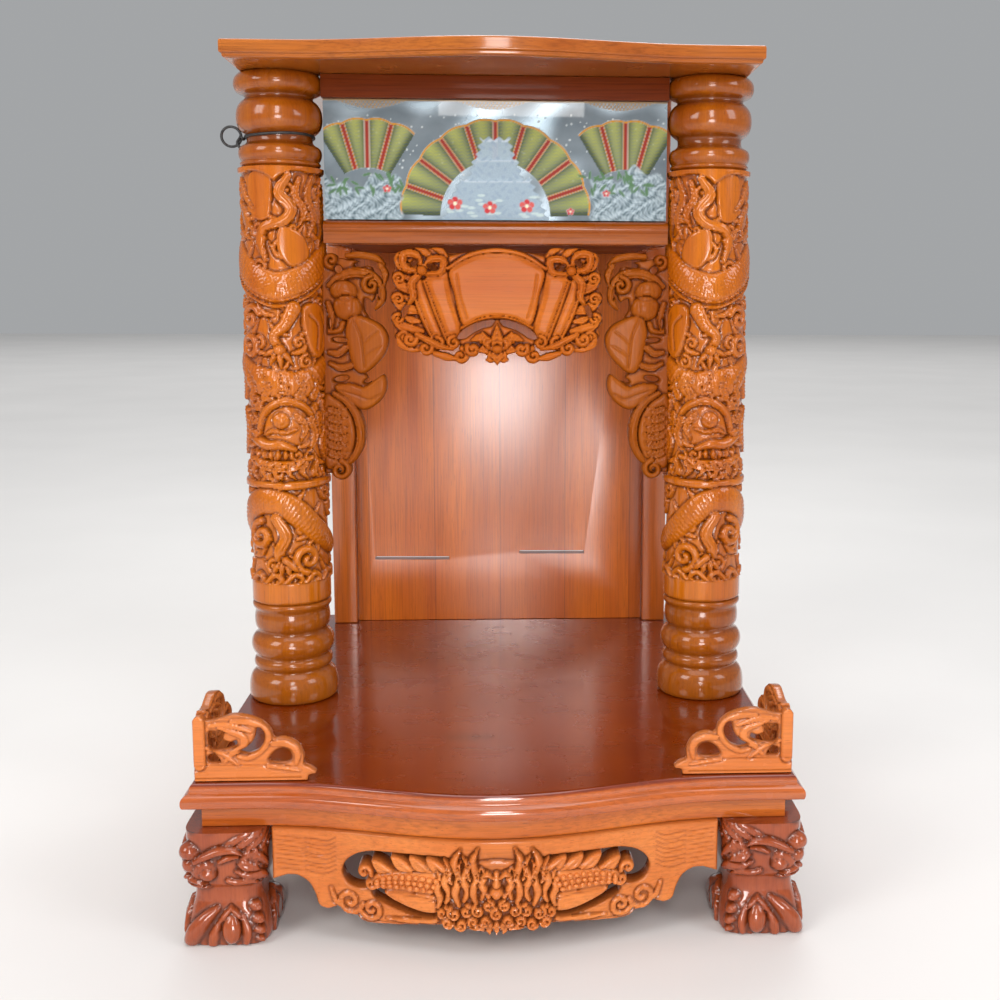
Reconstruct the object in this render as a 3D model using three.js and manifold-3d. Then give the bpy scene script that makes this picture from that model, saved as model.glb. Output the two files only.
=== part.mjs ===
// A household altar cabinet: a small lacquered hardwood shrine with an open niche. Four clawed feet and
// pierced aprons carry a bow-fronted deck; two carved columns and two plain rear posts carry the canopy.
// Millimetres, +Z up, front towards -Y, origin at the middle of the cabinet's footprint on the floor.

import * as THREE from 'three';
import { mergeVertices } from 'three/addons/utils/BufferGeometryUtils.js';
import Module from 'manifold-3d';

const wasm = await Module();
wasm.setup();

// Driving dimensions.
const WIDTH = 480;
const DEPTH = 526;
const HEIGHT = 704;
const BOW = 31;
const CANOPY_BOW = 25;
const BOW_SPAN = 0.78;
const GAP = 0.3;

const DECK_TOP = 128;
const DECK_THICKNESS = 19;
const RAIL_HEIGHT = 18;
const RAIL_THICKNESS = 18;
const RAIL_INSET = 13;
const APRON_INSET = 10;
const APRON_THICKNESS = 15;

const CANOPY_THICKNESS = 15;
const CANOPY_HALF_WIDTH = 224;
const CANOPY_FRONT = -93;

const COLUMN_X = 191;
const COLUMN_Y = -12.5;
const COLUMN_SEGMENTS = 18;
const SHAFT_ROWS = 19;
const SHAFT_RADIUS = 33.4;
const RELIEF = 4.2;
const DRAGON_TURNS = 2.1;
const DRAGON_HALF_WIDTH = 19;

const POST_SIZE = 26;
const POST_X = 175;
const BACK_FRONT = 237;
const BACK_THICKNESS = 15;

const LINTEL_HEIGHT = 21;
const GLASS_HEIGHT = 104;
const GLASS_HALF_WIDTH = 152;
const VALANCE_THICKNESS = 12;

const FOOT_HALF_SPAN = 244;
const FOOT_SIZE = 70;

// Levels and faces worked out from them.
const DECK_UNDERSIDE = DECK_TOP - DECK_THICKNESS;
const RAIL_BOTTOM = DECK_UNDERSIDE - RAIL_HEIGHT;
const APRON_TOP = RAIL_BOTTOM - GAP;
const CANOPY_UNDERSIDE = HEIGHT - CANOPY_THICKNESS;
const HALF_WIDTH = WIDTH / 2;
const DECK_FRONT = -DEPTH / 2 + BOW;
const DECK_REAR = DEPTH / 2;
const COLUMN_BOTTOM = DECK_TOP + GAP;
const COLUMN_TOP = CANOPY_UNDERSIDE - GAP;
const COLUMN_INNER_FACE = COLUMN_X - 38;
const GLASS_FRONT = COLUMN_Y - 6;
const TOP_RAIL_HEIGHT = 20;
const GLASS_TOP = CANOPY_UNDERSIDE - GAP - TOP_RAIL_HEIGHT;
const LINTEL_TOP = GLASS_TOP - GLASS_HEIGHT - 2 * GAP;
const LINTEL_BOTTOM = LINTEL_TOP - LINTEL_HEIGHT;

// Looks of the materials, as plain viewport colours.
const LACQUER = { color: 0xb4541a, roughness: 0.28, metalness: 0 };
const DARK_LACQUER = { color: 0x8a3a14, roughness: 0.25, metalness: 0 };
const GLASS = { color: 0x9fb4b0, roughness: 0.08, metalness: 0 };
const WIRE_LOOK = { color: 0x141414, roughness: 0.5, metalness: 0 };

const cabinet = new THREE.Group();

function place(name, geometry, look, x = 0, y = 0, z = 0) {
  const mesh = new THREE.Mesh(geometry, new THREE.MeshStandardMaterial(look));
  mesh.name = name;
  mesh.position.set(x, y, z);
  cabinet.add(mesh);
  return mesh;
}

function forBothSides(make) {
  make('left', -1);
  make('right', 1);
}

// --- Solids -------------------------------------------------------------------------------------------

function positionsOnly(geometry) {
  const copy = geometry.clone();
  copy.deleteAttribute('normal');
  copy.deleteAttribute('uv');
  return mergeVertices(copy, 1e-4);
}

function toSolid(geometry) {
  const merged = positionsOnly(geometry);
  const vertices = new Float32Array(merged.attributes.position.array);
  const triangles = new Uint32Array(merged.index.array);
  return new wasm.Manifold(new wasm.Mesh({ numProp: 3, vertProperties: vertices, triVerts: triangles }));
}

function toGeometry(solid) {
  const mesh = solid.getMesh();
  const points = new Float32Array((mesh.vertProperties.length / mesh.numProp) * 3);
  for (let i = 0; i < points.length / 3; i += 1) {
    for (let axis = 0; axis < 3; axis += 1) {
      points[3 * i + axis] = mesh.vertProperties[mesh.numProp * i + axis];
    }
  }
  const geometry = new THREE.BufferGeometry();
  geometry.setAttribute('position', new THREE.BufferAttribute(points, 3));
  geometry.setIndex(new THREE.BufferAttribute(new Uint32Array(mesh.triVerts), 1));
  geometry.computeVertexNormals();
  return geometry;
}

function union(solids) {
  return solids.reduce((joined, next) => joined.add(next));
}

function boxSolid(x0, x1, y0, y1, z0, z1) {
  const geometry = new THREE.BoxGeometry(x1 - x0, y1 - y0, z1 - z0);
  geometry.translate((x0 + x1) / 2, (y0 + y1) / 2, (z0 + z1) / 2);
  return toSolid(geometry);
}

// Closes a stack of rings of equal point counts, each counter-clockwise seen from above, bottom first.
function stackRings(rings) {
  const count = rings[0].length;
  const points = rings.flat();
  const faces = [];
  for (let row = 0; row + 1 < rings.length; row += 1) {
    for (let i = 0; i < count; i += 1) {
      const a = row * count + i;
      const b = row * count + ((i + 1) % count);
      faces.push(a, b, b + count, a, b + count, a + count);
    }
  }
  const last = (rings.length - 1) * count;
  const capOf = (ring) => THREE.ShapeUtils.triangulateShape(ring.map((p) => new THREE.Vector2(p.x, p.y)), []);
  for (const [a, b, c] of capOf(rings[0])) {
    faces.push(a, c, b);
  }
  for (const [a, b, c] of capOf(rings[rings.length - 1])) {
    faces.push(last + a, last + b, last + c);
  }
  const geometry = new THREE.BufferGeometry().setFromPoints(points);
  geometry.setIndex(faces);
  geometry.computeVertexNormals();
  return geometry;
}

// Extrudes a shape drawn in X and Z, from its rear face at rearY towards the front, and pierces its holes.
function panel(shape, rearY, thickness, curveSegments = 4) {
  const slab = (outline, rear, depth) => {
    const geometry = new THREE.ExtrudeGeometry(outline, { depth, bevelEnabled: false, curveSegments });
    geometry.rotateX(Math.PI / 2);
    geometry.translate(0, rear, 0);
    return toSolid(geometry);
  };
  const board = slab(new THREE.Shape(shape.getPoints(curveSegments)), rearY, thickness);
  const holes = shape.holes.map((hole) => (
    slab(new THREE.Shape(hole.getPoints(curveSegments)), rearY + 1, thickness + 2)
  ));
  return holes.reduce((left, hole) => left.subtract(hole), board);
}

// A shallow dome of carving on a panel, squashed to its half sizes and turned in the panel's plane.
function boss(x, y, z, halfWidth, halfHeight, rise, turn = 0) {
  const geometry = new THREE.SphereGeometry(1, 7, 4);
  geometry.rotateX(Math.PI / 2);
  geometry.scale(halfWidth, rise, halfHeight);
  geometry.rotateY(turn);
  geometry.translate(x, y, z);
  return toSolid(geometry);
}

function shapeFrom(points) {
  return new THREE.Shape(points.map(([x, z]) => new THREE.Vector2(x, z)));
}

function addEllipseHole(shape, x, z, halfWidth, halfHeight, turn = 0) {
  const hole = new THREE.Path();
  hole.absellipse(x, z, halfWidth, halfHeight, 0, 2 * Math.PI, false, turn);
  shape.holes.push(hole);
}

// --- Bowed boards -------------------------------------------------------------------------------------

function bowAt(x, halfWidth, bow = BOW) {
  const t = Math.min(1, Math.abs(x) / (BOW_SPAN * halfWidth));
  return bow * 0.5 * (1 + Math.cos(Math.PI * t));
}

function bowedRing(halfWidth, front, rear, z, bow, steps = 16) {
  const ring = [new THREE.Vector3(-halfWidth, rear, z)];
  for (let i = 0; i <= steps; i += 1) {
    const x = halfWidth * ((2 * i) / steps - 1);
    ring.push(new THREE.Vector3(x, front - bowAt(x, halfWidth, bow), z));
  }
  ring.push(new THREE.Vector3(halfWidth, rear, z));
  return ring;
}

// A board with a bowed front and a moulded edge. The profile lists how far the edge stands in, and the level.
function mouldedBoard(halfWidth, front, rear, bow, profile) {
  return stackRings(profile.map(([inset, z]) => bowedRing(halfWidth - inset, front + inset, rear, z, bow)));
}

function deckBoard() {
  const bead = [
    [4, 0], [0.8, 2.2], [0, 5.5], [0.8, 9], [3.2, 11.6], [5, 12.2], [5.6, 16], [7.6, DECK_THICKNESS],
  ];
  const profile = bead.map(([inset, rise]) => [inset, DECK_UNDERSIDE + rise]);
  place('deck_board', mouldedBoard(HALF_WIDTH, DECK_FRONT, DECK_REAR, BOW, profile), DARK_LACQUER);
}

function canopyBoard() {
  const edge = [[5, 0], [2.2, 1.6], [2, 3.4], [0, 4.2], [0, 12.6], [1.4, CANOPY_THICKNESS]];
  const profile = edge.map(([inset, rise]) => [inset, CANOPY_UNDERSIDE + rise]);
  const board = mouldedBoard(CANOPY_HALF_WIDTH, CANOPY_FRONT, DECK_REAR, CANOPY_BOW, profile);
  place('canopy_board', board, LACQUER);
}

// A strip that follows the bow, between two faces and two levels.
function bowedStrip(halfLength, front, thickness, bottom, top, steps = 14) {
  const ringAt = (z) => {
    const face = [];
    const rear = [];
    for (let i = 0; i <= steps; i += 1) {
      const x = halfLength * ((2 * i) / steps - 1);
      const y = front - bowAt(x, HALF_WIDTH);
      face.push(new THREE.Vector3(x, y, z));
      rear.unshift(new THREE.Vector3(x, y + thickness, z));
    }
    return [...face, ...rear];
  };
  return stackRings([ringAt(bottom), ringAt(top)]);
}

function deckRails() {
  const half = HALF_WIDTH - RAIL_INSET;
  const front = DECK_FRONT + RAIL_INSET;
  const top = DECK_UNDERSIDE - GAP;
  const rear = DECK_REAR - RAIL_INSET;
  place('front_rail', bowedStrip(half, front, RAIL_THICKNESS, RAIL_BOTTOM, top), LACQUER);
  const length = rear - (front + RAIL_THICKNESS) - 2 * GAP;
  const middle = (rear + front + RAIL_THICKNESS) / 2;
  const level = (RAIL_BOTTOM + top) / 2;
  forBothSides((name, side) => {
    const rail = new THREE.BoxGeometry(RAIL_THICKNESS, length, top - RAIL_BOTTOM);
    place(`side_rail_${name}`, rail, LACQUER, side * (half - RAIL_THICKNESS / 2), middle, level);
  });
  const back = new THREE.BoxGeometry(2 * (half - RAIL_THICKNESS - GAP), RAIL_THICKNESS, top - RAIL_BOTTOM);
  place('rear_rail', back, LACQUER, 0, rear - GAP - RAIL_THICKNESS / 2, level);
}

// --- Aprons -------------------------------------------------------------------------------------------

const APRON_HALF_LENGTH = FOOT_HALF_SPAN - FOOT_SIZE - GAP;
const APRON_SHOULDER = 48;
const APRON_LOW = 18;
const REAR_APRON_HEIGHT = 34;

// The front apron: square ends, a hollow beside each foot and a low middle that ends in the mask's tip.
function apronShape() {
  const half = APRON_HALF_LENGTH;
  const right = [
    [half, APRON_TOP], [half, APRON_SHOULDER], [half - 14, APRON_SHOULDER + 3],
    [half - 24, APRON_SHOULDER + 0.5], [half - 32, APRON_SHOULDER - 6], [half - 35, APRON_SHOULDER - 13],
    [half - 38, APRON_LOW + 9.5], [half - 45, APRON_LOW + 7.5], [half - 50, APRON_LOW + 10],
    [half - 58, APRON_LOW + 6.5], [half - 67, APRON_LOW + 4], [half - 72, APRON_LOW + 0.5],
    [half - 80, APRON_LOW], [70, APRON_LOW + 1.5], [44, APRON_LOW + 3.5], [26, APRON_LOW + 1.5],
  ];
  const left = right.map(([x, z]) => [-x, z]).reverse();
  const shape = shapeFrom([...right, [0, APRON_LOW - 1], ...left]);
  for (const side of [-1, 1]) {
    const crescent = [
      [40, 76.5], [96, 77], [108, 73], [117, 63], [117, 54], [111, 46], [103, 47],
      [106, 54], [102, 62], [90, 67], [70, 68.5], [40, 69.5],
    ];
    const slot = [[46, 27], [70, 29], [92, 36], [95, 41], [86, 43], [68, 38], [46, 33.5]];
    for (const outline of [crescent, slot]) {
      shape.holes.push(new THREE.Path(outline.map(([x, z]) => new THREE.Vector2(side * x, z))));
    }
  }
  return shape;
}

// Cuts a flat solid into upright strips, moves each one forward with the bow and joins them again.
function bend(solid, halfLength, strips) {
  const width = (2 * halfLength) / strips;
  const bent = [];
  for (let i = 0; i < strips; i += 1) {
    const x0 = -halfLength + i * width - (i === 0 ? 1 : 0);
    const x1 = -halfLength + (i + 1) * width + (i === strips - 1 ? 1 : 0);
    const strip = solid.intersect(boxSolid(x0, x1, -DEPTH, DEPTH, -10, HEIGHT)).getMesh();
    const points = new Float32Array(strip.vertProperties);
    for (let p = 0; p < points.length; p += 3) {
      points[p + 1] -= bowAt(points[p], HALF_WIDTH);
    }
    const mesh = new wasm.Mesh({ numProp: 3, vertProperties: points, triVerts: strip.triVerts });
    bent.push(new wasm.Manifold(mesh));
  }
  return union(bent);
}

function frontApron() {
  const face = DECK_FRONT + APRON_INSET;
  const rear = face + APRON_THICKNESS;
  const carving = [panel(apronShape(), rear, APRON_THICKNESS)];
  const proud = face + 1;
  // The mask: muzzle, snout, brows, cheeks, eyes and beard.
  carving.push(boss(0, proud, 38, 17, 12, 6));
  carving.push(boss(0, proud, 53, 8, 15, 7));
  carving.push(boss(0, proud, 25, 28, 8, 5));
  carving.push(boss(0, proud, 73, 12, 8, 4));
  for (const side of [-1, 1]) {
    carving.push(boss(side * 18, proud, 64, 13, 7, 6, side * 0.35));
    carving.push(boss(side * 30, proud, 47, 11, 14, 5, side * 0.2));
    carving.push(boss(side * 36, proud, 70, 8, 11, 4, side * -0.4));
    carving.push(boss(side * 36, proud, 30, 12, 8, 4, side * 0.4));
    carving.push(boss(side * 73, face + 2, 55, 31, 9, 5, side * 0.04));
  }
  const flat = union(carving);
  place('front_apron', toGeometry(bend(flat, APRON_HALF_LENGTH, 10)), LACQUER);
}

function sideAprons() {
  const front = DECK_FRONT + FOOT_SIZE;
  const rear = DECK_REAR - FOOT_SIZE - 6;
  const middle = (front + rear) / 2;
  const half = (rear - front) / 2 - GAP;
  const outline = [
    [half, APRON_TOP], [half, 54], [half - 22, 54], [half - 34, 66], [half - 60, 70],
    [-half + 60, 70], [-half + 34, 66], [-half + 22, 54], [-half, 54], [-half, APRON_TOP],
  ];
  forBothSides((name, side) => {
    const board = toGeometry(panel(shapeFrom(outline), 0, APRON_THICKNESS));
    board.translate(0, APRON_THICKNESS / 2, 0);
    board.rotateZ(Math.PI / 2);
    const x = side * (HALF_WIDTH - RAIL_INSET - APRON_THICKNESS / 2 - 2);
    place(`side_apron_${name}`, board, LACQUER, x, middle, 0);
  });
  const back = new THREE.BoxGeometry(2 * APRON_HALF_LENGTH, APRON_THICKNESS, REAR_APRON_HEIGHT);
  const backY = DECK_REAR - RAIL_INSET - APRON_THICKNESS / 2 - 6;
  place('rear_apron', back, LACQUER, 0, backY, APRON_TOP - REAR_APRON_HEIGHT / 2);
}

// --- Feet ---------------------------------------------------------------------------------------------

// A rounded square with its four sides' half sizes, for one level of a foot.
function footRing(centre, half, power, z, steps = 18, lobe = 0) {
  const ring = [];
  for (let i = 0; i < steps; i += 1) {
    const angle = (2 * Math.PI * i) / steps;
    const c = Math.cos(angle);
    const s = Math.sin(angle);
    const reach = Math.pow(Math.pow(Math.abs(c), power) + Math.pow(Math.abs(s), power), -1 / power);
    const swell = 1 + lobe * Math.cos(6 * angle);
    const out = reach * swell;
    ring.push(new THREE.Vector3(centre[0] + half[0] * out * c, centre[1] + half[1] * out * s, z));
  }
  return ring;
}

function frontFeet() {
  const top = APRON_TOP;
  // Half width, half depth, squareness, lobes and level, from the sole to the head block.
  const rows = [
    [34, 34, 4, 0.03, 0], [35, 35, 3.6, 0.05, 5], [33, 33, 3.4, 0.05, 16], [28, 28, 3.2, 0.02, 29],
    [26, 26, 3.2, 0, 42], [31, 31, 3.6, 0, 56], [33.5, 33.5, 4.5, 0, 72], [33, 33, 5, 0, top],
  ];
  forBothSides((name, side) => {
    const centreX = side * (FOOT_HALF_SPAN - 36.5);
    const centreY = DECK_FRONT + 32;
    const rings = rows.map(([wide, deep, power, lobe, level]) => (
      footRing([centreX, centreY], [wide, deep], power, level, 18, lobe)
    ));
    const parts = [toSolid(stackRings(rings))];
    const outer = centreX + side * 27;
    const front = centreY - 27;
    // The lion looks out at the corner: forehead, snout, lower jaw, eye and curled cheek.
    parts.push(boss(outer, front + 4, 84, 9, 7, 9, 0));
    parts.push(boss(outer + side * 1, front + 2, 70, 8.5, 8, 9, 0));
    parts.push(boss(outer - side * 1, front + 5, 59, 8, 5, 9, 0));
    parts.push(boss(centreX + side * 14, centreY - 32, 64, 7, 7, 6));
    parts.push(boss(centreX - side * 12, centreY - 31, 62, 12, 9, 6, side * 0.4));
    parts.push(boss(centreX - side * 4, centreY - 32, 80, 16, 7, 6, side * 0.15));
    // Claws over the paw.
    parts.push(boss(centreX + side * 23, centreY - 27, 15, 8, 14, 9, side * -0.5));
    parts.push(boss(centreX - side * 1, centreY - 30, 15, 9, 14, 7));
    parts.push(boss(centreX - side * 23, centreY - 27, 15, 8, 14, 9, side * 0.35));
    const [x0, x1] = [side * (FOOT_HALF_SPAN - FOOT_SIZE), side * FOOT_HALF_SPAN].sort((a, b) => a - b);
    const block = boxSolid(x0, x1, -DEPTH / 2, 0, 0, APRON_TOP);
    place(`foot_front_${name}`, toGeometry(union(parts).intersect(block)), DARK_LACQUER);
  });
}

function rearFeet() {
  const rows = [
    [32, 32, 4, 0.02, 0], [33, 33, 4, 0.03, 6], [30, 30, 4, 0.02, 20], [26, 26, 4, 0, 38],
    [31, 31, 5, 0, 58], [32, 32, 6, 0, APRON_TOP],
  ];
  forBothSides((name, side) => {
    const centre = [side * (FOOT_HALF_SPAN - 38), DECK_REAR - 38];
    const rings = rows.map(([wide, deep, power, lobe, level]) => (
      footRing(centre, [wide, deep], power, level, 18, lobe)
    ));
    place(`foot_rear_${name}`, stackRings(rings), DARK_LACQUER);
  });
}

// --- Columns ------------------------------------------------------------------------------------------

const SHAFT_BOTTOM = 212;
const SHAFT_TOP = 606;
const WIRE_LEVEL = 636;
const NECK_RADIUS = 28.5;

// The turned rings below and above the carved shaft, as radius and level.
const BASE_RINGS = [
  [39, 0], [40.6, 5], [40.4, 14], [33.5, 23.5], [32.5, 28], [37.4, 36], [38.4, 45], [35, 58],
  [31.5, 62], [31.5, 68], [34, 72], [34, 77], [30.5, 80],
].map(([radius, rise]) => [radius, COLUMN_BOTTOM + rise]);
const CAPITAL_RINGS = [
  [31.5, 608], [36, 611], [36.4, 620], [33, 629], [29, 632.5], [NECK_RADIUS, WIRE_LEVEL + 3],
  [35, 643], [37.3, 652], [35.5, 660], [29, 667], [35.4, 674], [36.6, 680], [35, COLUMN_TOP],
];

// The carving on a shaft: a scaled dragon's body coiling upwards, with flames and clouds between its turns.
function columnRelief(angle, z, hand) {
  const t = (z - SHAFT_BOTTOM) / (SHAFT_TOP - SHAFT_BOTTOM);
  const around = hand * angle;
  const coil = around - 2 * Math.PI * DRAGON_TURNS * t - 0.9 * Math.sin(2 * Math.PI * 1.3 * t);
  const distance = Math.atan2(Math.sin(coil), Math.cos(coil)) * SHAFT_RADIUS;
  const body = Math.sqrt(Math.max(0, 1 - (distance / DRAGON_HALF_WIDTH) ** 2));
  const cloud = 0.5 + 0.5 * Math.sin(3 * around + 21 * t) * Math.sin(2 * around - 34 * t + 1);
  const ends = Math.min(1, 12 * t, 12 * (1 - t));
  return RELIEF * ends * Math.max(body, 0.72 * cloud);
}

function columnRing(radiusAt, z) {
  const ring = [];
  for (let i = 0; i < COLUMN_SEGMENTS; i += 1) {
    const angle = (2 * Math.PI * i) / COLUMN_SEGMENTS;
    const radius = radiusAt(angle);
    ring.push(new THREE.Vector3(radius * Math.cos(angle), radius * Math.sin(angle), z));
  }
  return ring;
}

function columns() {
  forBothSides((name, side) => {
    const rings = BASE_RINGS.map(([radius, z]) => columnRing(() => radius, z));
    for (let row = 0; row <= SHAFT_ROWS; row += 1) {
      const z = SHAFT_BOTTOM + ((SHAFT_TOP - SHAFT_BOTTOM) * row) / SHAFT_ROWS;
      rings.push(columnRing((angle) => SHAFT_RADIUS + columnRelief(angle, z, side), z));
    }
    rings.push(...CAPITAL_RINGS.map(([radius, z]) => columnRing(() => radius, z)));
    place(`column_${name}`, stackRings(rings), LACQUER, side * COLUMN_X, COLUMN_Y, 0);
  });
}

// A stiff black wire bound round the left column's neck and twisted into a small ring beside it.
function wireTie() {
  const wire = 1.3;
  const bandRadius = NECK_RADIUS + wire + 2.6;
  const band = new THREE.TorusGeometry(bandRadius, wire, 4, 16);
  band.translate(-COLUMN_X, COLUMN_Y, WIRE_LEVEL);
  const ringRadius = 9;
  const ring = new THREE.TorusGeometry(ringRadius, wire, 4, 12);
  ring.rotateX(Math.PI / 2 + 0.25);
  ring.translate(-COLUMN_X - bandRadius - ringRadius - 0.8, COLUMN_Y - 1, WIRE_LEVEL);
  place('wire_tie', toGeometry(toSolid(band).add(toSolid(ring))), WIRE_LOOK);
}

// --- Back, posts and the box behind the glass -----------------------------------------------------------

function rearPosts() {
  const height = CANOPY_UNDERSIDE - DECK_TOP - 2 * GAP;
  const middle = (CANOPY_UNDERSIDE + DECK_TOP) / 2;
  const y = BACK_FRONT + BACK_THICKNESS - POST_SIZE / 2;
  forBothSides((name, side) => {
    const post = new THREE.BoxGeometry(POST_SIZE, POST_SIZE, height);
    place(`rear_post_${name}`, post, LACQUER, side * POST_X, y, middle);
  });
}

// Vertical boards glued edge to edge, with two narrow slots low down.
function backPanel() {
  const half = POST_X - POST_SIZE / 2 - GAP;
  const shape = shapeFrom([
    [-half, DECK_TOP + GAP], [half, DECK_TOP + GAP],
    [half, CANOPY_UNDERSIDE - GAP], [-half, CANOPY_UNDERSIDE - GAP],
  ]);
  for (const [x0, x1, z] of [[-142, -58, 199], [22, 96, 205]]) {
    const slot = [[x0, z], [x1, z - 0.5], [x1, z + 3], [x0, z + 3.5]];
    shape.holes.push(new THREE.Path(slot.map(([x, level]) => new THREE.Vector2(x, level))));
  }
  place('back_panel', toGeometry(panel(shape, BACK_FRONT + BACK_THICKNESS, BACK_THICKNESS)), LACQUER);
}

function glassBox() {
  const inner = COLUMN_INNER_FACE;
  const lintelFront = COLUMN_Y - 14;
  const lintelRear = COLUMN_Y + 10;
  const profile = [
    [lintelRear, LINTEL_BOTTOM], [lintelFront + 3, LINTEL_BOTTOM], [lintelFront + 1, LINTEL_BOTTOM + 2],
    [lintelFront + 1, LINTEL_BOTTOM + 10], [lintelFront - 1, LINTEL_BOTTOM + 12], [lintelFront, LINTEL_BOTTOM + 16],
    [lintelFront + 3, LINTEL_BOTTOM + 19], [lintelFront + 7, LINTEL_TOP], [lintelRear, LINTEL_TOP],
  ];
  const lintel = new THREE.ExtrudeGeometry(shapeFrom(profile), { depth: 2 * inner, bevelEnabled: false });
  lintel.rotateX(Math.PI / 2);
  lintel.rotateZ(Math.PI / 2);
  place('lintel', lintel, LACQUER, -inner, 0, 0);

  const railBottom = GLASS_TOP + GAP;
  const railTop = CANOPY_UNDERSIDE - GAP;
  const rail = new THREE.BoxGeometry(2 * inner, 22, railTop - railBottom);
  place('top_rail', rail, DARK_LACQUER, 0, COLUMN_Y - 2, (railTop + railBottom) / 2);

  const pane = new THREE.BoxGeometry(2 * GLASS_HALF_WIDTH, 4, GLASS_HEIGHT);
  place('painted_glass', pane, GLASS, 0, GLASS_FRONT + 2, GLASS_TOP - GLASS_HEIGHT / 2);

  const ceilingFront = lintelRear + GAP;
  const ceilingRear = BACK_FRONT - GAP;
  const ceilingHalf = POST_X - POST_SIZE / 2 - GAP;
  const ceilingDepth = ceilingRear - ceilingFront;
  const ceiling = new THREE.BoxGeometry(2 * ceilingHalf - 30, ceilingDepth, 9);
  place('ceiling_board', ceiling, LACQUER, 0, (ceilingFront + ceilingRear) / 2, LINTEL_BOTTOM + 5.5);
  const sideFront = COLUMN_Y + 41;
  const sideRear = BACK_FRONT + BACK_THICKNESS - POST_SIZE - GAP;
  forBothSides((name, side) => {
    const height = CANOPY_UNDERSIDE - GAP - LINTEL_BOTTOM;
    const board = new THREE.BoxGeometry(10, sideRear - sideFront, height);
    const x = side * (ceilingHalf - 15 + GAP + 5);
    place(`box_side_${name}`, board, LACQUER, x, (sideRear + sideFront) / 2, LINTEL_BOTTOM + height / 2);
  });
}

// --- Pierced valance ------------------------------------------------------------------------------------

const VALANCE_REAR = COLUMN_Y + 4;
const VALANCE_TOP = LINTEL_BOTTOM - GAP;

// The unrolled, pleated scroll in the middle, held by ribbons, with clouds and a lotus under it.
function valanceCentre() {
  const top = VALANCE_TOP;
  const right = [
    [22, top - 0.6], [40, top - 6], [52, top - 12], [60, top - 5], [74, top - 7], [84, top - 3], [95, top - 6],
    [92, top - 18], [97, top - 33], [90, top - 48], [96, top - 66], [90, top - 86], [76, top - 88],
    [66, top - 92], [60, top - 101], [44, top - 104], [30, top - 102], [22, top - 92], [10, top - 96],
  ];
  const left = right.map(([x, z]) => [-x, z]).reverse();
  const shape = shapeFrom([[0, top], ...right, [0, top - 106], ...left]);
  for (const side of [-1, 1]) {
    addEllipseHole(shape, side * 63, top - 24, 8, 5, side * 0.6);
    addEllipseHole(shape, side * 82, top - 58, 3.5, 9, side * 0.35);
    addEllipseHole(shape, side * 20, top - 73, 15, 3.4, side * -0.5);
  }
  const solids = [panel(shape, VALANCE_REAR, VALANCE_THICKNESS, 3)];
  const face = VALANCE_REAR - VALANCE_THICKNESS;
  const rise = 5;
  const arc = (radiusX, level, fall, from, to, steps) => {
    const points = [];
    for (let i = 0; i <= steps; i += 1) {
      const x = from + ((to - from) * i) / steps;
      points.push([x, level - fall * (x / radiusX) ** 2]);
    }
    return points;
  };
  const scroll = shapeFrom([...arc(78, top - 3, 38, -78, 78, 8), ...arc(56, top - 66, 26, 56, -56, 8)]);
  solids.push(panel(scroll, face + 1, rise + 1));
  for (const side of [-1, 1]) {
    for (const [upperX, lowerX] of [[44, 32], [62, 44], [75, 55]]) {
      const upper = top - 6 - 38 * (upperX / 78) ** 2;
      const lower = top - 64 - 26 * (lowerX / 56) ** 2;
      const fold = shapeFrom([
        [side * (upperX - 2.5), upper], [side * (upperX + 2.5), upper],
        [side * (lowerX + 2.5), lower], [side * (lowerX - 2.5), lower],
      ]);
      solids.push(panel(fold, face + 1, rise + 4));
    }
    solids.push(boss(side * 84, face, top - 14, 11, 7, 6, side * -0.4));
    solids.push(boss(side * 62, face, top - 12, 9, 5, 6, side * 0.3));
    solids.push(boss(side * 88, face, top - 74, 9, 9, 6));
    solids.push(boss(side * 50, face, top - 95, 14, 7, 7, side * 0.15));
  }
  solids.push(boss(0, face, top - 88, 17, 13, 7));
  place('valance_centre', toGeometry(union(solids)), LACQUER);
}

// The bracket beside a column: a gourd under a curled ribbon, two broad leaves and a hanging pod.
function valanceBrackets() {
  const outer = COLUMN_INNER_FACE - GAP;
  const top = VALANCE_TOP;
  forBothSides((name, side) => {
    const outline = [
      [outer, top - 9], [118, top - 8], [101, top - 14], [99, top - 36], [103, top - 62], [99.5, top - 84],
      [103, top - 102], [112, top - 113], [103, top - 116], [101, top - 132], [112, top - 144], [119, top - 150],
      [119, top - 166], [124, top - 184], [131, top - 198], [133, top - 208], [143, top - 212], [outer, top - 206],
    ].map(([x, z]) => [side * x, z]);
    const shape = shapeFrom(outline);
    addEllipseHole(shape, side * 118, top - 20, 10, 2.6, side * 0.15);
    addEllipseHole(shape, side * 114, top - 52, 5.5, 8.5, side * 0.45);
    addEllipseHole(shape, side * 142, top - 81, 6.5, 2.4);
    addEllipseHole(shape, side * 139, top - 118, 7.5, 2.8, side * -0.2);
    addEllipseHole(shape, side * 118, top - 119, 4.5, 2.8, side * -0.6);
    const solids = [panel(shape, VALANCE_REAR, VALANCE_THICKNESS, 3)];
    const face = VALANCE_REAR - VALANCE_THICKNESS;
    solids.push(boss(side * 135, face, top - 50, 11, 10, 5));
    solids.push(boss(side * 117, face, top - 87, 16, 23, 5, side * 0.2));
    solids.push(boss(side * 120, face, top - 135, 19, 11, 5, side * -0.3));
    solids.push(boss(side * 135, face, top - 168, 11, 27, 5, side * 0.15));
    place(`valance_bracket_${name}`, toGeometry(union(solids)), LACQUER);
  });
}

// --- Corner galleries -----------------------------------------------------------------------------------

const GALLERY_THICKNESS = 9;
const GALLERY_INSET = 9;

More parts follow.
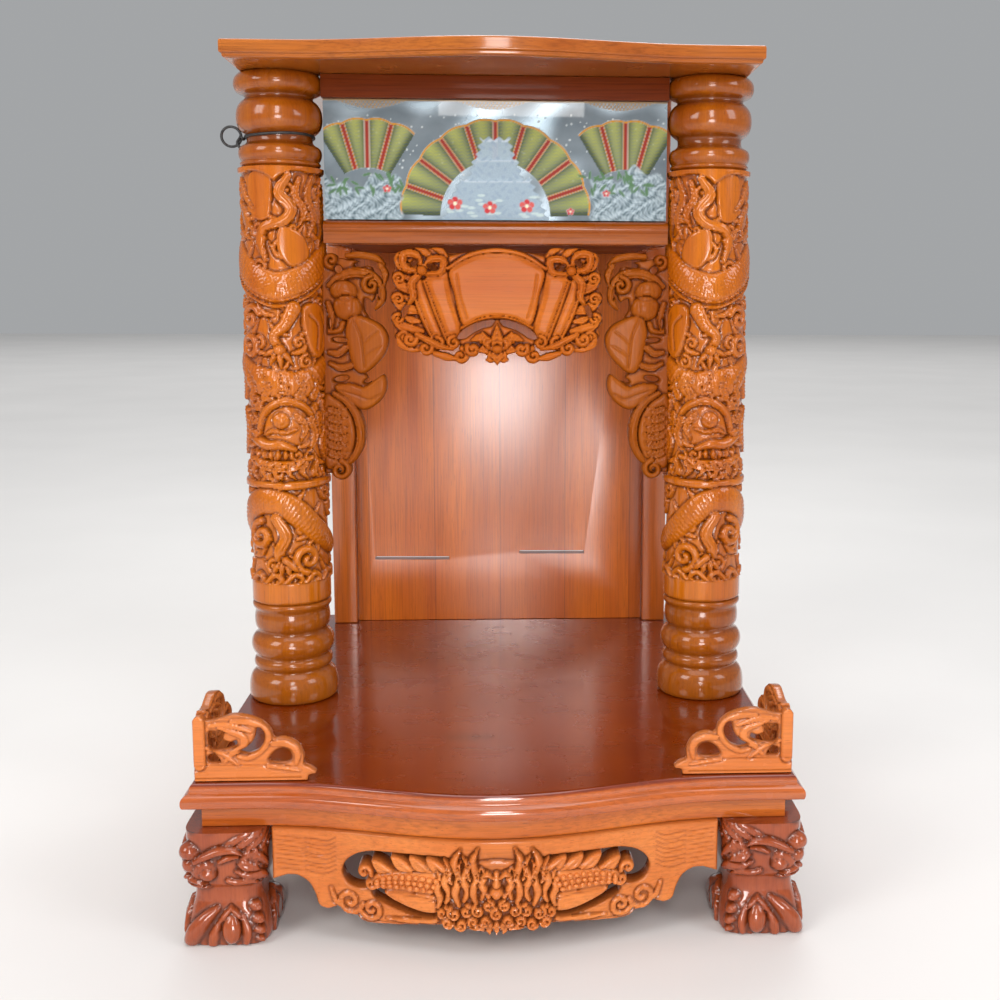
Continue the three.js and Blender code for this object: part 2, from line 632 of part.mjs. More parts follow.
// Half outline of a low pierced fence: a tall post end, then a run of scrolls stepping down to a tail.
function galleryShape(length, side, peak) {
  const outline = [
    [0, 0], [length, 0], [length - 2, 4], [length - 9, 8], [length - 11, 24], [length - 18, 32],
    [length - 29, 32], [length - 34, 38], [length - 40, 50], [length - 52, peak], [length - 66, peak - 2],
    [16, 50], [11, 48], [0, 49],
  ].map(([x, z]) => [side * x, z + DECK_TOP + GAP]);
  const shape = shapeFrom(outline);
  const base = DECK_TOP + GAP;
  addEllipseHole(shape, side * (length - 24), base + 18, 9, 5.5, side * -0.1);
  addEllipseHole(shape, side * (length - 45), base + 33, 5, 11, side * -0.6);
  addEllipseHole(shape, side * (length - 68), base + 33, 9, 4.5, side * 0.5);
  addEllipseHole(shape, side * 18, base + 19, 5, 4);
  return shape;
}

function galleries() {
  const length = 93;
  const corner = HALF_WIDTH - GALLERY_INSET;
  const front = DECK_FRONT + GALLERY_INSET;
  forBothSides((name, side) => {
    const face = panel(galleryShape(length, -side, 53), front + GALLERY_THICKNESS, GALLERY_THICKNESS, 3);
    place(`gallery_front_${name}`, toGeometry(face), LACQUER, side * corner, 0, 0);
    const run = toGeometry(panel(galleryShape(length, 1, 58), 0, GALLERY_THICKNESS, 3));
    run.rotateZ(Math.PI / 2);
    const x = side * (corner - GALLERY_THICKNESS / 2) - GALLERY_THICKNESS / 2;
    place(`gallery_side_${name}`, run, LACQUER, x, front + GALLERY_THICKNESS + GAP, 0);
  });
}

deckBoard();
deckRails();
frontApron();
sideAprons();
frontFeet();
rearFeet();
columns();
wireTie();
rearPosts();
backPanel();
glassBox();
canopyBoard();
valanceCentre();
valanceBrackets();
galleries();

export default cabinet;
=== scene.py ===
"""Looks of a household altar cabinet: carved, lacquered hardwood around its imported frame."""

import math

import bmesh
import bpy
import numpy as np
from mathutils import Matrix, Vector


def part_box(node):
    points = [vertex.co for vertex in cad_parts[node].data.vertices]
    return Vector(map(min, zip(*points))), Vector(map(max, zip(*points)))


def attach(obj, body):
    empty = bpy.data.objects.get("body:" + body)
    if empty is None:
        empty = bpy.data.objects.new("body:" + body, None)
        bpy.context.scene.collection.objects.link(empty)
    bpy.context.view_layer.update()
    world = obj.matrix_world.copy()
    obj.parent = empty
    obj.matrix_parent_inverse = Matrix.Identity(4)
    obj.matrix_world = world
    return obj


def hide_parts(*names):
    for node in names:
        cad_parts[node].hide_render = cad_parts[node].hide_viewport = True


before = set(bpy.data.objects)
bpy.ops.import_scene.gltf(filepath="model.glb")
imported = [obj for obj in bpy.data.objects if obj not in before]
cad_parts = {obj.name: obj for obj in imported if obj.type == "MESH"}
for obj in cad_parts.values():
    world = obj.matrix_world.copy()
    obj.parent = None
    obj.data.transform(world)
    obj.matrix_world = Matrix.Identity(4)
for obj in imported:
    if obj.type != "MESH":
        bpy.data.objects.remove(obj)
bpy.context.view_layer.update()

bl_info = {
    "name": "Household Altar Cabinet",
    "version": (1, 0, 0),
    "blender": (4, 5, 0),
    "location": "3D View > Sidebar > Altar",
    "description": "Builds the carved and lacquered pieces of a household altar cabinet",
    "category": "Object",
}

MM = 0.001


def box_mm(node):
    """Lowest and highest corner of a node, in millimetres."""
    low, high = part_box(node)
    return np.array(low) / MM, np.array(high) / MM


# --- Sizes that the pieces share, in millimetres, read from the frame where it has them ---

DECK_LOW, DECK_HIGH = box_mm("deck_board")
COLUMN_LOW, COLUMN_HIGH = box_mm("column_right")
APRON_HIGH = box_mm("front_apron")[1]
LINTEL_LOW, LINTEL_HIGH = box_mm("lintel")
SIDES = (("left", -1), ("right", 1))
# How far the deck's and the canopy's fronts bow out, and the share of the width over which they do.
BOW = 31.0
CANOPY_BOW = 25.0
BOW_SPAN = 0.78
BOW_POINTS = 57
HALF_WIDTH = DECK_HIGH[0]
DECK_FRONT = DECK_LOW[1] + BOW
RAIL_THICK = 18.0
APRON_THICK = 15.0
APRON_SETBACK = 10.0
BERRY_SPACING = 5.0
BERRY_RADIUS = 2.3
VALANCE_THICK = 12.0
VALANCE_TOP = LINTEL_LOW[2] - 0.3
BRACKET_TENON = 4.0
COLUMN_X = (COLUMN_LOW[0] + COLUMN_HIGH[0]) / 2
COLUMN_Y = (COLUMN_LOW[1] + COLUMN_HIGH[1]) / 2
SHAFT_RADIUS = 34.9
SHAFT_BOTTOM = 220.4
SHAFT_TOP = 609.0
WIRE_BAND_RADIUS = 29.6
# Distance between the points of the round carvings, and the share of the user's grid for the finer boards.
SHAFT_GRID = 1.08
FOOT_GRID = 1.12
REAR_FOOT_GRID = 3.0
VALANCE_GRID = 0.9
GALLERY_GRID = 0.8
# How much painted shade darkens the cut edges of a pierced board, from 0 to 1, for the shadow in its openings.
CUT_EDGE_SHADE = 0.35


def bow_at(x, half_width=HALF_WIDTH, bow=BOW):
    """How far the bowed front stands forward at x."""
    t = np.minimum(1.0, np.abs(x) / (BOW_SPAN * half_width))
    return bow * 0.5 * (1 + np.cos(np.pi * t))


# --- Low relief carving ---


def spline(points, count):
    """A smooth run of count points through the given ones."""
    p = np.asarray(points, float)
    last = len(p) - 1
    padded = np.vstack([2 * p[0] - p[1], p, 2 * p[-1] - p[-2]])
    t = np.linspace(0, last, count)
    i = np.clip(t.astype(int), 0, last - 1)
    f = (t - i)[:, None]
    a, b, c, d = (padded[i + k] for k in range(4))
    return 0.5 * (2 * b + (c - a) * f + (2 * a - 5 * b + 4 * c - d) * f**2 + (3 * b - a - 3 * c + d) * f**3)


def closed_spline(points):
    """A smooth closed outline through the given points."""
    per_point = 5
    p = [list(q) for q in points]
    run = spline([p[-1]] + p + [p[0], p[1]], (len(p) + 2) * per_point + 1)
    return run[per_point:-per_point - 1]


def softened(field, passes):
    """The field blurred by a small kernel, again and again."""
    for _ in range(passes):
        for axis in (0, 1):
            field = 0.5 * field + 0.25 * (np.roll(field, 1, axis) + np.roll(field, -1, axis))
    return field


def flipped(points):
    """The same points on the other side of the middle line."""
    return [(-x, z) for x, z in points]


class Carving:
    """A face to carve, in millimetres: its heights, and the signed distance inside its outline."""

    def __init__(self, left, right, bottom, top, step, around=0.0, solid=True):
        if around:
            self.x = np.linspace(left, right, int(round((right - left) / step)), endpoint=False)
        else:
            self.x = np.linspace(left, right, int(round((right - left) / step)) + 1)
        self.z = np.linspace(bottom, top, int(round((top - bottom) / step)) + 1)
        self.X, self.Z = np.meshgrid(self.x, self.z)
        self.around = around
        self.height = np.zeros_like(self.X)
        self.inside = np.full_like(self.X, 50.0 if solid else -50.0)
        self.kept = np.full_like(self.X, 50.0)
        self.darken_by = 0.0

    def window(self, path, reach):
        """The rows and columns of the grid within reach of a path."""
        low, high = path[:, 1].min() - reach, path[:, 1].max() + reach
        rows = slice(*np.searchsorted(self.z, [low, high]))
        if self.around:
            return rows, slice(None)
        low, high = path[:, 0].min() - reach, path[:, 0].max() + reach
        return rows, slice(*np.searchsorted(self.x, [low, high]))

    def offset(self, win, x, z):
        """How far every point of a window lies from x and z, the short way round."""
        dx = self.X[win] - x
        if self.around:
            dx = (dx + self.around / 2) % self.around - self.around / 2
        return dx, self.Z[win] - z

    def nearest(self, path, reach):
        """Distance from every point to a path, how far along it is, and on which side."""
        win = self.window(path, reach)
        shape = self.X[win].shape
        best, along, side = np.full(shape, 1e9), np.zeros(shape), np.ones(shape)
        steps = len(path) - 1
        for k in range(steps):
            (ax, az), (bx, bz) = path[k], path[k + 1]
            dx, dz = bx - ax, bz - az
            px, pz = self.offset(win, ax, az)
            u = np.clip((px * dx + pz * dz) / max(dx * dx + dz * dz, 1e-9), 0, 1)
            ex, ez = px - u * dx, pz - u * dz
            d = ex * ex + ez * ez
            closer = d < best
            best = np.where(closer, d, best)
            along = np.where(closer, (k + u) / steps, along)
            side = np.where(closer, np.sign(dx * ez - dz * ex), side)
        return win, np.sqrt(best), along, side

    def lay(self, win, cover, surface, undercut=0.8):
        """Lays a form over what is there, with a cut round its edge."""
        height, inside = self.height[win], self.inside[win]
        height -= undercut * np.exp(-(((cover + 0.7) / 0.9) ** 2)) * (cover <= 0)
        np.copyto(height, surface, where=cover > 0)
        np.maximum(inside, cover, out=inside)

    def stroke(self, points, widths, rise, section="round", base=0.0, scales=0.0, both=False, undercut=0.8):
        """A carved band along a path. widths and rise are half widths and heights along it."""
        path = spline(points, max(8, 6 * len(points)))
        widths, rise = np.atleast_1d(widths).astype(float), np.atleast_1d(rise).astype(float)
        win, d, t, side = self.nearest(path, widths.max() + 3)
        half = np.interp(t, np.linspace(0, 1, len(widths)), widths)
        lift = np.interp(t, np.linspace(0, 1, len(rise)), rise)
        q = np.clip(d / np.maximum(half, 0.05), 0, 1)
        length = np.hypot(*np.diff(path, axis=0).T).sum()
        if section == "round":
            form = np.sqrt(1 - q**2)
        elif section == "flat":
            form = np.sqrt(1 - q**6)
        elif section == "leaf":
            form = 0.55 * np.sqrt(1 - q**4) + 0.45 * np.abs(q) ** 1.5 * (1 - q**8)
            form += 0.10 * np.sin(t * length * 1.5 + 5 * q)
        elif section == "ribbon":
            form = np.sqrt(1 - q**6) - 0.30 * np.exp(-(((q - 0.55) / 0.16) ** 2))
        surface = base + lift * form
        if scales:
            row = t * length / scales
            column = side * d / scales + 0.5 * (np.floor(row) % 2)
            inside_x = column - np.floor(column) - 0.5
            tip = row - np.floor(row) - 0.55 * (1 - (2 * inside_x) ** 2)
            surface += 0.75 * np.where(tip > 0, 0.15, 1.0 - 0.7 * (row - np.floor(row))) * (1 - q**6)
        self.lay(win, half - d, surface, undercut)
        if both:
            self.stroke(flipped(points), widths, rise, section, base, scales, False, undercut)

    def strokes(self, section, *forms, **how):
        """Carved bands of one section, each a path with its half widths and heights."""
        for points, widths, rise in forms:
            self.stroke(points, widths, rise, section, **how)

    def curl(self, x, z, radius, turns, start, hand, width, rise, base=0.0, both=False, section="round"):
        """A scroll that winds inwards from its start angle, in degrees."""
        a = np.linspace(0, turns * 2 * np.pi, int(9 * turns) + 4)
        r = radius * (1 - 0.86 * a / a[-1])
        angle = np.radians(start) + hand * a
        points = list(zip(x + r * np.cos(angle), z + r * np.sin(angle)))
        self.stroke(points, [width, width, 0.7 * width], [rise, rise, rise * 1.15], section, base, both=both)

    def boss(self, x, z, half_x, half_z, rise, turn=0.0, both=False, power=0.5):
        """A rounded lump, turned by an angle in degrees."""
        win = self.window(np.array([[x, z]]), max(half_x, half_z) + 3)
        dx, dz = self.offset(win, x, z)
        c, s = math.cos(math.radians(turn)), math.sin(math.radians(turn))
        q = np.hypot((dx * c + dz * s) / half_x, (dz * c - dx * s) / half_z)
        form = np.clip(1 - q**2, 0, 1) ** power
        self.lay(win, (1 - q) * min(half_x, half_z), rise * form)
        if both:
            self.boss(-x, z, half_x, half_z, rise, -turn, False, power)

    def eye(self, x, z, radius, rise):
        """A ringed eyeball."""
        self.boss(x, z, radius, radius, rise, power=0.35)
        win = self.window(np.array([[x, z]]), radius)
        dx, dz = self.offset(win, x, z)
        self.height[win] -= np.exp(-(((np.hypot(dx, dz) - 0.55 * radius) / (0.16 * radius)) ** 2))

    def groove(self, points, width, depth, both=False):
        """A cut line along a path."""
        win, d, _, _ = self.nearest(spline(points, max(8, 6 * len(points))), 3 * width)
        self.height[win] -= depth * np.exp(-((d / width) ** 2))
        if both:
            self.groove(flipped(points), width, depth)

    def signed(self, outline):
        """Signed distance to a closed outline, positive inside it."""
        loop = np.asarray(outline, float)
        loop = np.vstack([loop, loop[:1]])
        win, d, _, _ = self.nearest(loop, 6)
        X, Z = self.X[win], self.Z[win]
        crossings = np.zeros(X.shape, int)
        for (ax, az), (bx, bz) in zip(loop[:-1], loop[1:]):
            spans = (az > Z) != (bz > Z)
            at = ax + (Z - az) * (bx - ax) / (bz - az if bz != az else 1e-9)
            crossings += spans & (X < at)
        return win, np.where(crossings % 2 == 1, d, -d)

    def plate(self, outline, rise=0.0, base=0.0, rounding=2.0, both=False, undercut=0.8, smooth=True):
        """A flat form with a rounded edge."""
        win, cover = self.signed(closed_spline(outline) if smooth else outline)
        edge = np.clip(cover / rounding, 0, 1)
        surface = base + rise * np.sqrt(1 - (1 - edge) ** 2) if rise else np.full(cover.shape, base)
        self.lay(win, cover, surface, undercut if rise else 0.0)
        if both:
            self.plate(flipped(outline), rise, base, rounding, False, undercut, smooth)

    def part(self, outline, both=False):
        """Wood taken away behind the forms that are laid on it afterwards."""
        win, cover = self.signed(closed_spline(outline))
        self.inside[win] = np.minimum(self.inside[win], -cover)
        if both:
            self.part(flipped(outline))

    def pierce(self, outline, both=False):
        """A hole through the board and through every form on it."""
        win, cover = self.signed(closed_spline(outline))
        self.kept[win] = np.minimum(self.kept[win], -cover)
        self.height[win] -= 0.9 * np.exp(-((cover + 0.4) ** 2))
        if both:
            self.pierce(flipped(outline))

    def pierce_oval(self, x, z, half_x, half_z, turn, both=False):
        """An oval hole, turned by an angle in degrees."""
        a = np.radians(np.arange(0, 360, 30))
        c, s = math.cos(math.radians(turn)), math.sin(math.radians(turn))
        px, pz = half_x * np.cos(a), half_z * np.sin(a)
        self.pierce(list(zip(x + px * c - pz * s, z + px * s + pz * c)), both)

    def hollow(self):
        """How deep each point lies in a hollow, from 0 to 1, for the darker lacquer gathered there and for
        painted shade there, darker still near cut edges and where extra darkening is added.
        """
        cavity = softened(self.height, 10) - self.height
        # Painted shade along the board's cut edges.
        edge = np.clip(1 - np.minimum(self.inside, self.kept) / 3.0, 0, 1) * 0.25
        return np.clip(cavity / 1.3 + edge + self.darken_by, 0, 1)


# --- Meshes ---


def add_mesh(name, points, faces, material, angle=48.0, **attributes):
    """A closed mesh object from points in millimetres, with its faces turned outwards."""
    mesh = bpy.data.meshes.new(name)
    mesh.from_pydata((np.asarray(points, float) * MM).tolist(), [], faces)
    for key, values in attributes.items():
        values = np.asarray(values, np.float32)
        if values.ndim == 2:
            layer = mesh.attributes.new(key, "FLOAT_COLOR", "POINT")
            layer.data.foreach_set("color", values.ravel())
        else:
            layer = mesh.attributes.new(key, "FLOAT", "POINT")
            layer.data.foreach_set("value", values)
    work = bmesh.new()
    work.from_mesh(mesh)
    bmesh.ops.recalc_face_normals(work, faces=work.faces)
    if work.calc_volume(signed=True) < 0:
        bmesh.ops.reverse_faces(work, faces=work.faces)
    work.to_mesh(mesh)
    work.free()
    return placed(mesh, material, angle)


def finish_piece(piece, slot, *nodes):
    """Declares a piece on the cabinet's one body, in the place of the nodes that it stands for."""
    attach(piece, "root")
    if nodes:
        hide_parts(*nodes)


def carved_board(name, carving, face, rear, material, put=None, rounding=1.8, two_faced=False, inner=0.25):
    """A pierced board with a carved face, walls round its openings and a flat back that is inner dark: inner is
    painted shade for the back and the depths of the openings.
    """
    f = np.minimum(carving.inside, carving.kept)
    f[0, :] = np.minimum(f[0, :], -0.01)
    f[-1, :] = f[:, 0] = f[:, -1] = -0.01
    inside = f > 0
    shoulder = np.clip(f / rounding, 0, 1)
    relief = carving.height - rounding * (1 - np.sqrt(1 - (1 - shoulder) ** 2))
    hollow = carving.hollow()
    ids = np.full(f.shape, -1)
    ids[inside] = np.arange(inside.sum())
    xs, zs = [carving.X[inside]], [carving.Z[inside]]
    ys, dark = [relief[inside]], [hollow[inside]]
    count = int(inside.sum())

    def crossings(first, second, count):
        """Points where the outline crosses the grid's lines."""
        cut = inside[first] != inside[second]
        t = (f[first] / (f[first] - f[second] + 1e-12))[cut]
        xs.append(carving.X[first][cut] * (1 - t) + carving.X[second][cut] * t)
        zs.append(carving.Z[first][cut] * (1 - t) + carving.Z[second][cut] * t)
        near = np.where(inside[first], carving.height[first], carving.height[second])[cut]
        ys.append(near - rounding)
        # The cut rims take the painted shade of the cut edges.
        dark.append(np.full(int(cut.sum()), CUT_EDGE_SHADE))
        table = np.full(cut.shape, -1)
        table[cut] = count + np.arange(cut.sum())
        return table, count + int(cut.sum())

    left, right = (slice(None), slice(None, -1)), (slice(None), slice(1, None))
    low, high = (slice(None, -1), slice(None)), (slice(1, None), slice(None))
    across, count = crossings(left, right, count)
    upright, count = crossings(low, high, count)
    full = inside[:-1, :-1] & inside[1:, :-1] & inside[:-1, 1:] & inside[1:, 1:]
    corner = ids[:-1, :-1][full], ids[:-1, 1:][full], ids[1:, 1:][full], ids[1:, :-1][full]
    front = np.stack(corner, 1).tolist()
    some = (inside[:-1, :-1] | inside[1:, :-1] | inside[:-1, 1:] | inside[1:, 1:]) & ~full
    rims = []
    for r, c in zip(*np.nonzero(some)):
        ring = (
            ids[r, c], across[r, c], ids[r, c + 1], upright[r, c + 1],
            ids[r + 1, c + 1], across[r + 1, c], ids[r + 1, c], upright[r, c],
        )
        cuts = (False, True) * 4
        loop = [(int(v), cut) for v, cut in zip(ring, cuts) if v >= 0]
        front.append([v for v, _ in loop])
        for k, (v, cut) in enumerate(loop):
            after, after_cut = loop[(k + 1) % len(loop)]
            if cut and after_cut:
                rims.append((v, after))
    x, z, y = np.concatenate(xs), np.concatenate(zs), np.concatenate(ys)
    dark = np.concatenate(dark)
    back_y = rear + (y + rounding if two_faced else 0 * y)
    back = [[v + count for v in reversed(face_loop)] for face_loop in front]
    walls = [(b, a, a + count, b + count) for a, b in rims]
    X = np.concatenate([x, x])
    Y = np.concatenate([face - y, back_y])
    Z = np.concatenate([z, z])
    if put:
        X, Y, Z = put(X, Y, Z)
    # A one-faced board's back takes the painted shade inner, so the walls of its openings darken towards the
    # back.
    shade = np.concatenate([dark, dark if two_faced else np.full(count, inner)])
    return add_mesh(name, np.stack([X, Y, Z], 1), front + back + walls, material, hollow=shade)


def stacked(name, rings, material, angle, shade=None):
    """A closed solid from a stack of rings with equal point counts."""
    rings = np.asarray(rings, float)
    rows, count, _ = rings.shape
    grid = np.arange(rows * count).reshape(rows, count)
    a, b = grid[:-1], np.roll(grid, -1, 1)[:-1]
    c, d = np.roll(grid, -1, 1)[1:], grid[1:]
    faces = np.stack([a, b, c, d], 2).reshape(-1, 4).tolist()
    faces += [grid[0][::-1].tolist(), grid[-1].tolist()]
    hollow = np.zeros(rows * count) if shade is None else np.asarray(shade).ravel()
    return add_mesh(name, rings.reshape(-1, 3), faces, material, angle, hollow=hollow)


def dressed(node, material, slot, bevel):
    """A merged copy of a plain board's solid with eased edges, finished as a piece."""
    work = bmesh.new()
    work.from_mesh(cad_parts[node].data)
    bmesh.ops.remove_doubles(work, verts=work.verts, dist=1e-6)
    bmesh.ops.dissolve_limit(work, angle_limit=math.radians(2), verts=work.verts, edges=work.edges)
    sharp = [e for e in work.edges if e.is_manifold and e.calc_face_angle(0) > math.radians(35)]
    if bevel:
        bmesh.ops.bevel(work, geom=sharp, offset=bevel * MM, segments=2, profile=0.6, affect="EDGES")
    bmesh.ops.triangulate(work, faces=[f for f in work.faces if len(f.verts) > 4])
    mesh = bpy.data.meshes.new(node + "_eased")
    work.to_mesh(mesh)
    work.free()
    finish_piece(placed(mesh, material, 30.0), slot, node)


def placed(mesh, material, angle):
    """An object of a mesh, smooth but for edges sharper than the angle in degrees."""
    mesh.shade_smooth()
    mesh.set_sharp_from_angle(angle=math.radians(angle))
    mesh.materials.append(material)
    piece = bpy.data.objects.new(mesh.name, mesh)
    bpy.context.scene.collection.objects.link(piece)
    return piece


# --- Finishes ---


class Nodes:
    """A node tree and short calls to add and link its nodes."""

    def __init__(self, tree):
        self.tree = tree

    def node(self, kind, settings=None, **inputs):
        node = self.tree.nodes.new(kind)
        for key, value in (settings or {}).items():
            setattr(node, key, value)
        self.feed(node, **inputs)
        return node

    def feed(self, node, **inputs):
        """Links or sets inputs by name, or by number as i0, i1 and so on."""
        for key, value in inputs.items():
            socket = node.inputs[int(key[1:]) if key[1:].isdigit() else key.replace("_", " ")]
            if isinstance(value, bpy.types.NodeSocket):
                self.tree.links.new(value, socket)
            else:
                socket.default_value = value


class Finish(Nodes):
    """A material and the patterns that its finish is mixed from."""

    def __init__(self, name):
        self.material = bpy.data.materials.new(name)
        self.material.use_nodes = True
        super().__init__(self.material.node_tree)

    def surface(self, **inputs):
        """Sets the surface's inputs and gives the finished material."""
        self.feed(self.tree.nodes["Principled BSDF"], **inputs)
        return self.material

    def place(self):
        """Where each point lies in the cabinet's frame."""
        return self.node("ShaderNodeTexCoord").outputs["Object"]

    def noise(self, scale, detail=3.0, distortion=0.0, roughness=0.5):
        """Cloudy noise, scaled alike on every axis or by three numbers."""
        scale = scale if isinstance(scale, tuple) else (scale,) * 3
        vector = self.node("ShaderNodeMapping", Scale=scale, Vector=self.place()).outputs["Vector"]
        return self.node("ShaderNodeTexNoise", Vector=vector, Scale=1.0, Detail=detail,
                         Distortion=distortion, Roughness=roughness).outputs["Fac"]

    def ramp(self, value, *stops):
        node = self.node("ShaderNodeValToRGB", Fac=value)
        elements = node.color_ramp.elements
        while len(elements) < len(stops):
            elements.new(0.5)
        for element, (at, colour) in zip(elements, stops):
            element.position = at
            element.color = (*colour, 1)
        return node.outputs["Color"]

    def levels(self, value, low, high, to_low=0.0, to_high=1.0):
        return self.node("ShaderNodeMapRange", Value=value, From_Min=low, From_Max=high,
                         To_Min=to_low, To_Max=to_high).outputs["Result"]

    def blend(self, kind, factor, a, b):
        settings = {"data_type": "RGBA", "blend_type": kind}
        return self.node("ShaderNodeMix", settings, i0=factor, i6=a, i7=b).outputs[2]

    def darken_by(self, factor, colour, over):
        """A plain colour laid over another by a factor."""
        return self.blend("MIX", factor, over, (*colour, 1))

    def maths(self, kind, a, b=0.0):
        return self.node("ShaderNodeMath", {"operation": kind}, i0=a, i1=b).outputs[0]

    def bump(self, height, strength, distance, **under):
        return self.node("ShaderNodeBump", Height=height, Strength=strength, Distance=distance,
                         **under).outputs["Normal"]


def stretched(axis, along, across):
    """A scale that draws a pattern out along one axis."""
    return tuple(along if k == "XYZ".index(axis) else across for k in range(3))


def lacquered_wood(name, light, dark, deep, axis, roughness, hollows, coat=0.5, blur=0.10, gloss=1.5,
                   boards=None, top=None, knot=None):
    """Straight-grained hardwood under gloss lacquer, darker in the hollows of a carving, for lacquer gathered
    there and for painted shade.

    axis is the way of the grain, blur and gloss the roughness and index of the clear coat, boards the
    axis, width and shift of joined boards. Above the height top the lacquer is painted darker, as painted
    shade on the top face. knot is the place of a knot in x and y. A carved piece shows its fibres less.
    """
    finish = Finish(name)
    streak = 0.20 if hollows else 0.30
    figure = finish.noise(stretched(axis, 2.2, 26.0), 5.0, 0.9, 0.55)
    middle = tuple(0.5 * (a + b) for a, b in zip(light, dark))
    colour = finish.ramp(figure, (0.30, dark), (0.50, middle), (0.70, light))
    fibre = finish.noise(stretched(axis, 14.0, 620.0), 2.0)
    shade = finish.levels(fibre, 0.30, 0.70, 1.0 - streak, 1.0 + 0.5 * streak)
    colour = finish.blend("MULTIPLY", 1.0, colour, finish.ramp(shade, (0.0, (0, 0, 0)), (1.0, (1, 1, 1))))
    pores = finish.noise(stretched(axis, 60.0, 1500.0), 1.0)
    colour = finish.darken_by(finish.levels(pores, 0.66, 0.74, 0.0, 0.45), deep, colour)
    blotch = finish.noise(7.0)
    colour = finish.darken_by(finish.levels(blotch, 0.42, 0.75, 0.0, 0.40), dark, colour)
    place = finish.node("ShaderNodeSeparateXYZ", Vector=finish.place()).outputs
    if boards:
        across, width, shift = boards
        run = finish.maths("ADD", finish.maths("DIVIDE", place[across], width), shift)
        tint = finish.node("ShaderNodeTexWhiteNoise", {"noise_dimensions": "1D"},
                           W=finish.maths("FLOOR", run))
        colour = finish.darken_by(finish.levels(tint.outputs["Value"], 0.0, 1.0, 0.0, 0.55), dark, colour)
        part = finish.maths("ABSOLUTE", finish.maths("SUBTRACT", finish.maths("FRACT", run), 0.5))
        colour = finish.darken_by(finish.levels(part, 0.490, 0.4985, 0.0, 0.6), deep, colour)
    if knot:
        spot = finish.node("ShaderNodeMapping", {"vector_type": "TEXTURE"}, Location=(*knot, 0.0),
                           Scale=(0.030, 0.010, 1.0), Vector=finish.place())
        flat = finish.node("ShaderNodeVectorMath", {"operation": "MULTIPLY"}, i0=spot.outputs["Vector"],
                           i1=(1.0, 1.0, 0.0))
        reach = finish.node("ShaderNodeVectorMath", {"operation": "LENGTH"}, i0=flat.outputs["Vector"])
        ragged = finish.maths("ADD", reach.outputs["Value"], finish.levels(figure, 0.3, 0.7, -0.3, 0.3))
        colour = finish.darken_by(finish.levels(ragged, 0.45, 1.0, 0.6, 0.0), deep, colour)
    if top:
        # Painted shade: the top face is darker than the moulded edge below it, which catches the light.
        above = finish.levels(place["Z"], top - 0.0030, top - 0.0014)
        colour = finish.blend("MULTIPLY", above, colour, (0.43, 0.23, 0.10, 1))
    if hollows:
        # The hollows take the deep colour: lacquer gathered there and painted shade.
        hollow = finish.node("ShaderNodeAttribute", {"attribute_name": "hollow"}).outputs["Fac"]
        colour = finish.darken_by(finish.maths("MULTIPLY", hollow, hollows), deep, colour)
    wear = finish.levels(finish.noise(38.0), 0.3, 0.7, roughness - 0.06, roughness + 0.08)
    ripple = finish.bump(finish.noise(150.0, 2.0), 0.12, 0.0006, Normal=finish.bump(fibre, 0.10, 0.0004))
    return finish.surface(
        Base_Color=colour, Roughness=wear, Normal=ripple, Specular_IOR_Level=0.16 if coat > 0.1 else 0.08,
        Coat_Weight=coat, Coat_Roughness=blur, Coat_IOR=gloss)


def painted_mirror():
    """Silvered glass painted from behind: clear mirror, frosted white and opaque colours."""
    finish = Finish("painted_mirror")
    paint = finish.node("ShaderNodeAttribute", {"attribute_name": "paint"}).outputs
    cover = paint["Alpha"]
    cloud = finish.noise((20.0, 20.0, 30.0), 4.0)
    # Painted reflection: the silver is a dim, clouded grey-blue that stands in for the darker room the mirror
    # shows.
    silver = finish.ramp(cloud, (0.3, (0.18, 0.24, 0.28)), (0.7, (0.36, 0.44, 0.49)))
    speck = finish.ramp(finish.noise(900.0, 2.0), (0.3, (0.7, 0.7, 0.7)), (0.7, (1.0, 1.0, 1.0)))
    pigment = finish.blend("MULTIPLY", 0.35, paint["Color"], speck)
    return finish.surface(
        Base_Color=finish.blend("MIX", cover, silver, pigment),
        Metallic=finish.levels(cover, 0.0, 0.7, 0.85, 0.0),
        Roughness=finish.levels(cover, 0.0, 0.5, 0.07, 0.42), Specular_IOR_Level=0.15,
        Coat_Weight=0.6, Coat_Roughness=0.02, Coat_IOR=1.5)


def wire_cover():
    """Black plastic cover of a stiff wire."""
    finish = Finish("wire_cover")
    scuff = finish.noise(300.0)
    return finish.surface(
        Base_Color=finish.ramp(scuff, (0.3, (0.010, 0.010, 0.011)), (0.8, (0.04, 0.04, 0.04))),
        Roughness=finish.levels(scuff, 0.3, 0.7, 0.35, 0.55))


def floor_paint(colour):
    """Pale matt floor with a barely visible mottle."""
    finish = Finish("floor_paint")
    mottle = finish.noise(2.0, 4.0)
    lighter = tuple(min(1.0, 1.05 * c) for c in colour)
    return finish.surface(
        Base_Color=finish.ramp(mottle, (0.3, tuple(colour)), (0.7, lighter)),
        Roughness=finish.levels(mottle, 0.3, 0.7, 0.75, 0.85))


# --- The user's sizes and colours ---


def colour_property(name, description, default):
    """A colour for the sidebar."""
    return bpy.props.FloatVectorProperty(
        name=name, description=description, subtype="COLOR", size=3, min=0.0, max=1.0, default=default)


def number_property(name, description, low, high, default, **kind):
    """A number for the sidebar."""
    return bpy.props.FloatProperty(name=name, description=description, min=low, max=high, default=default,
                                   **kind)


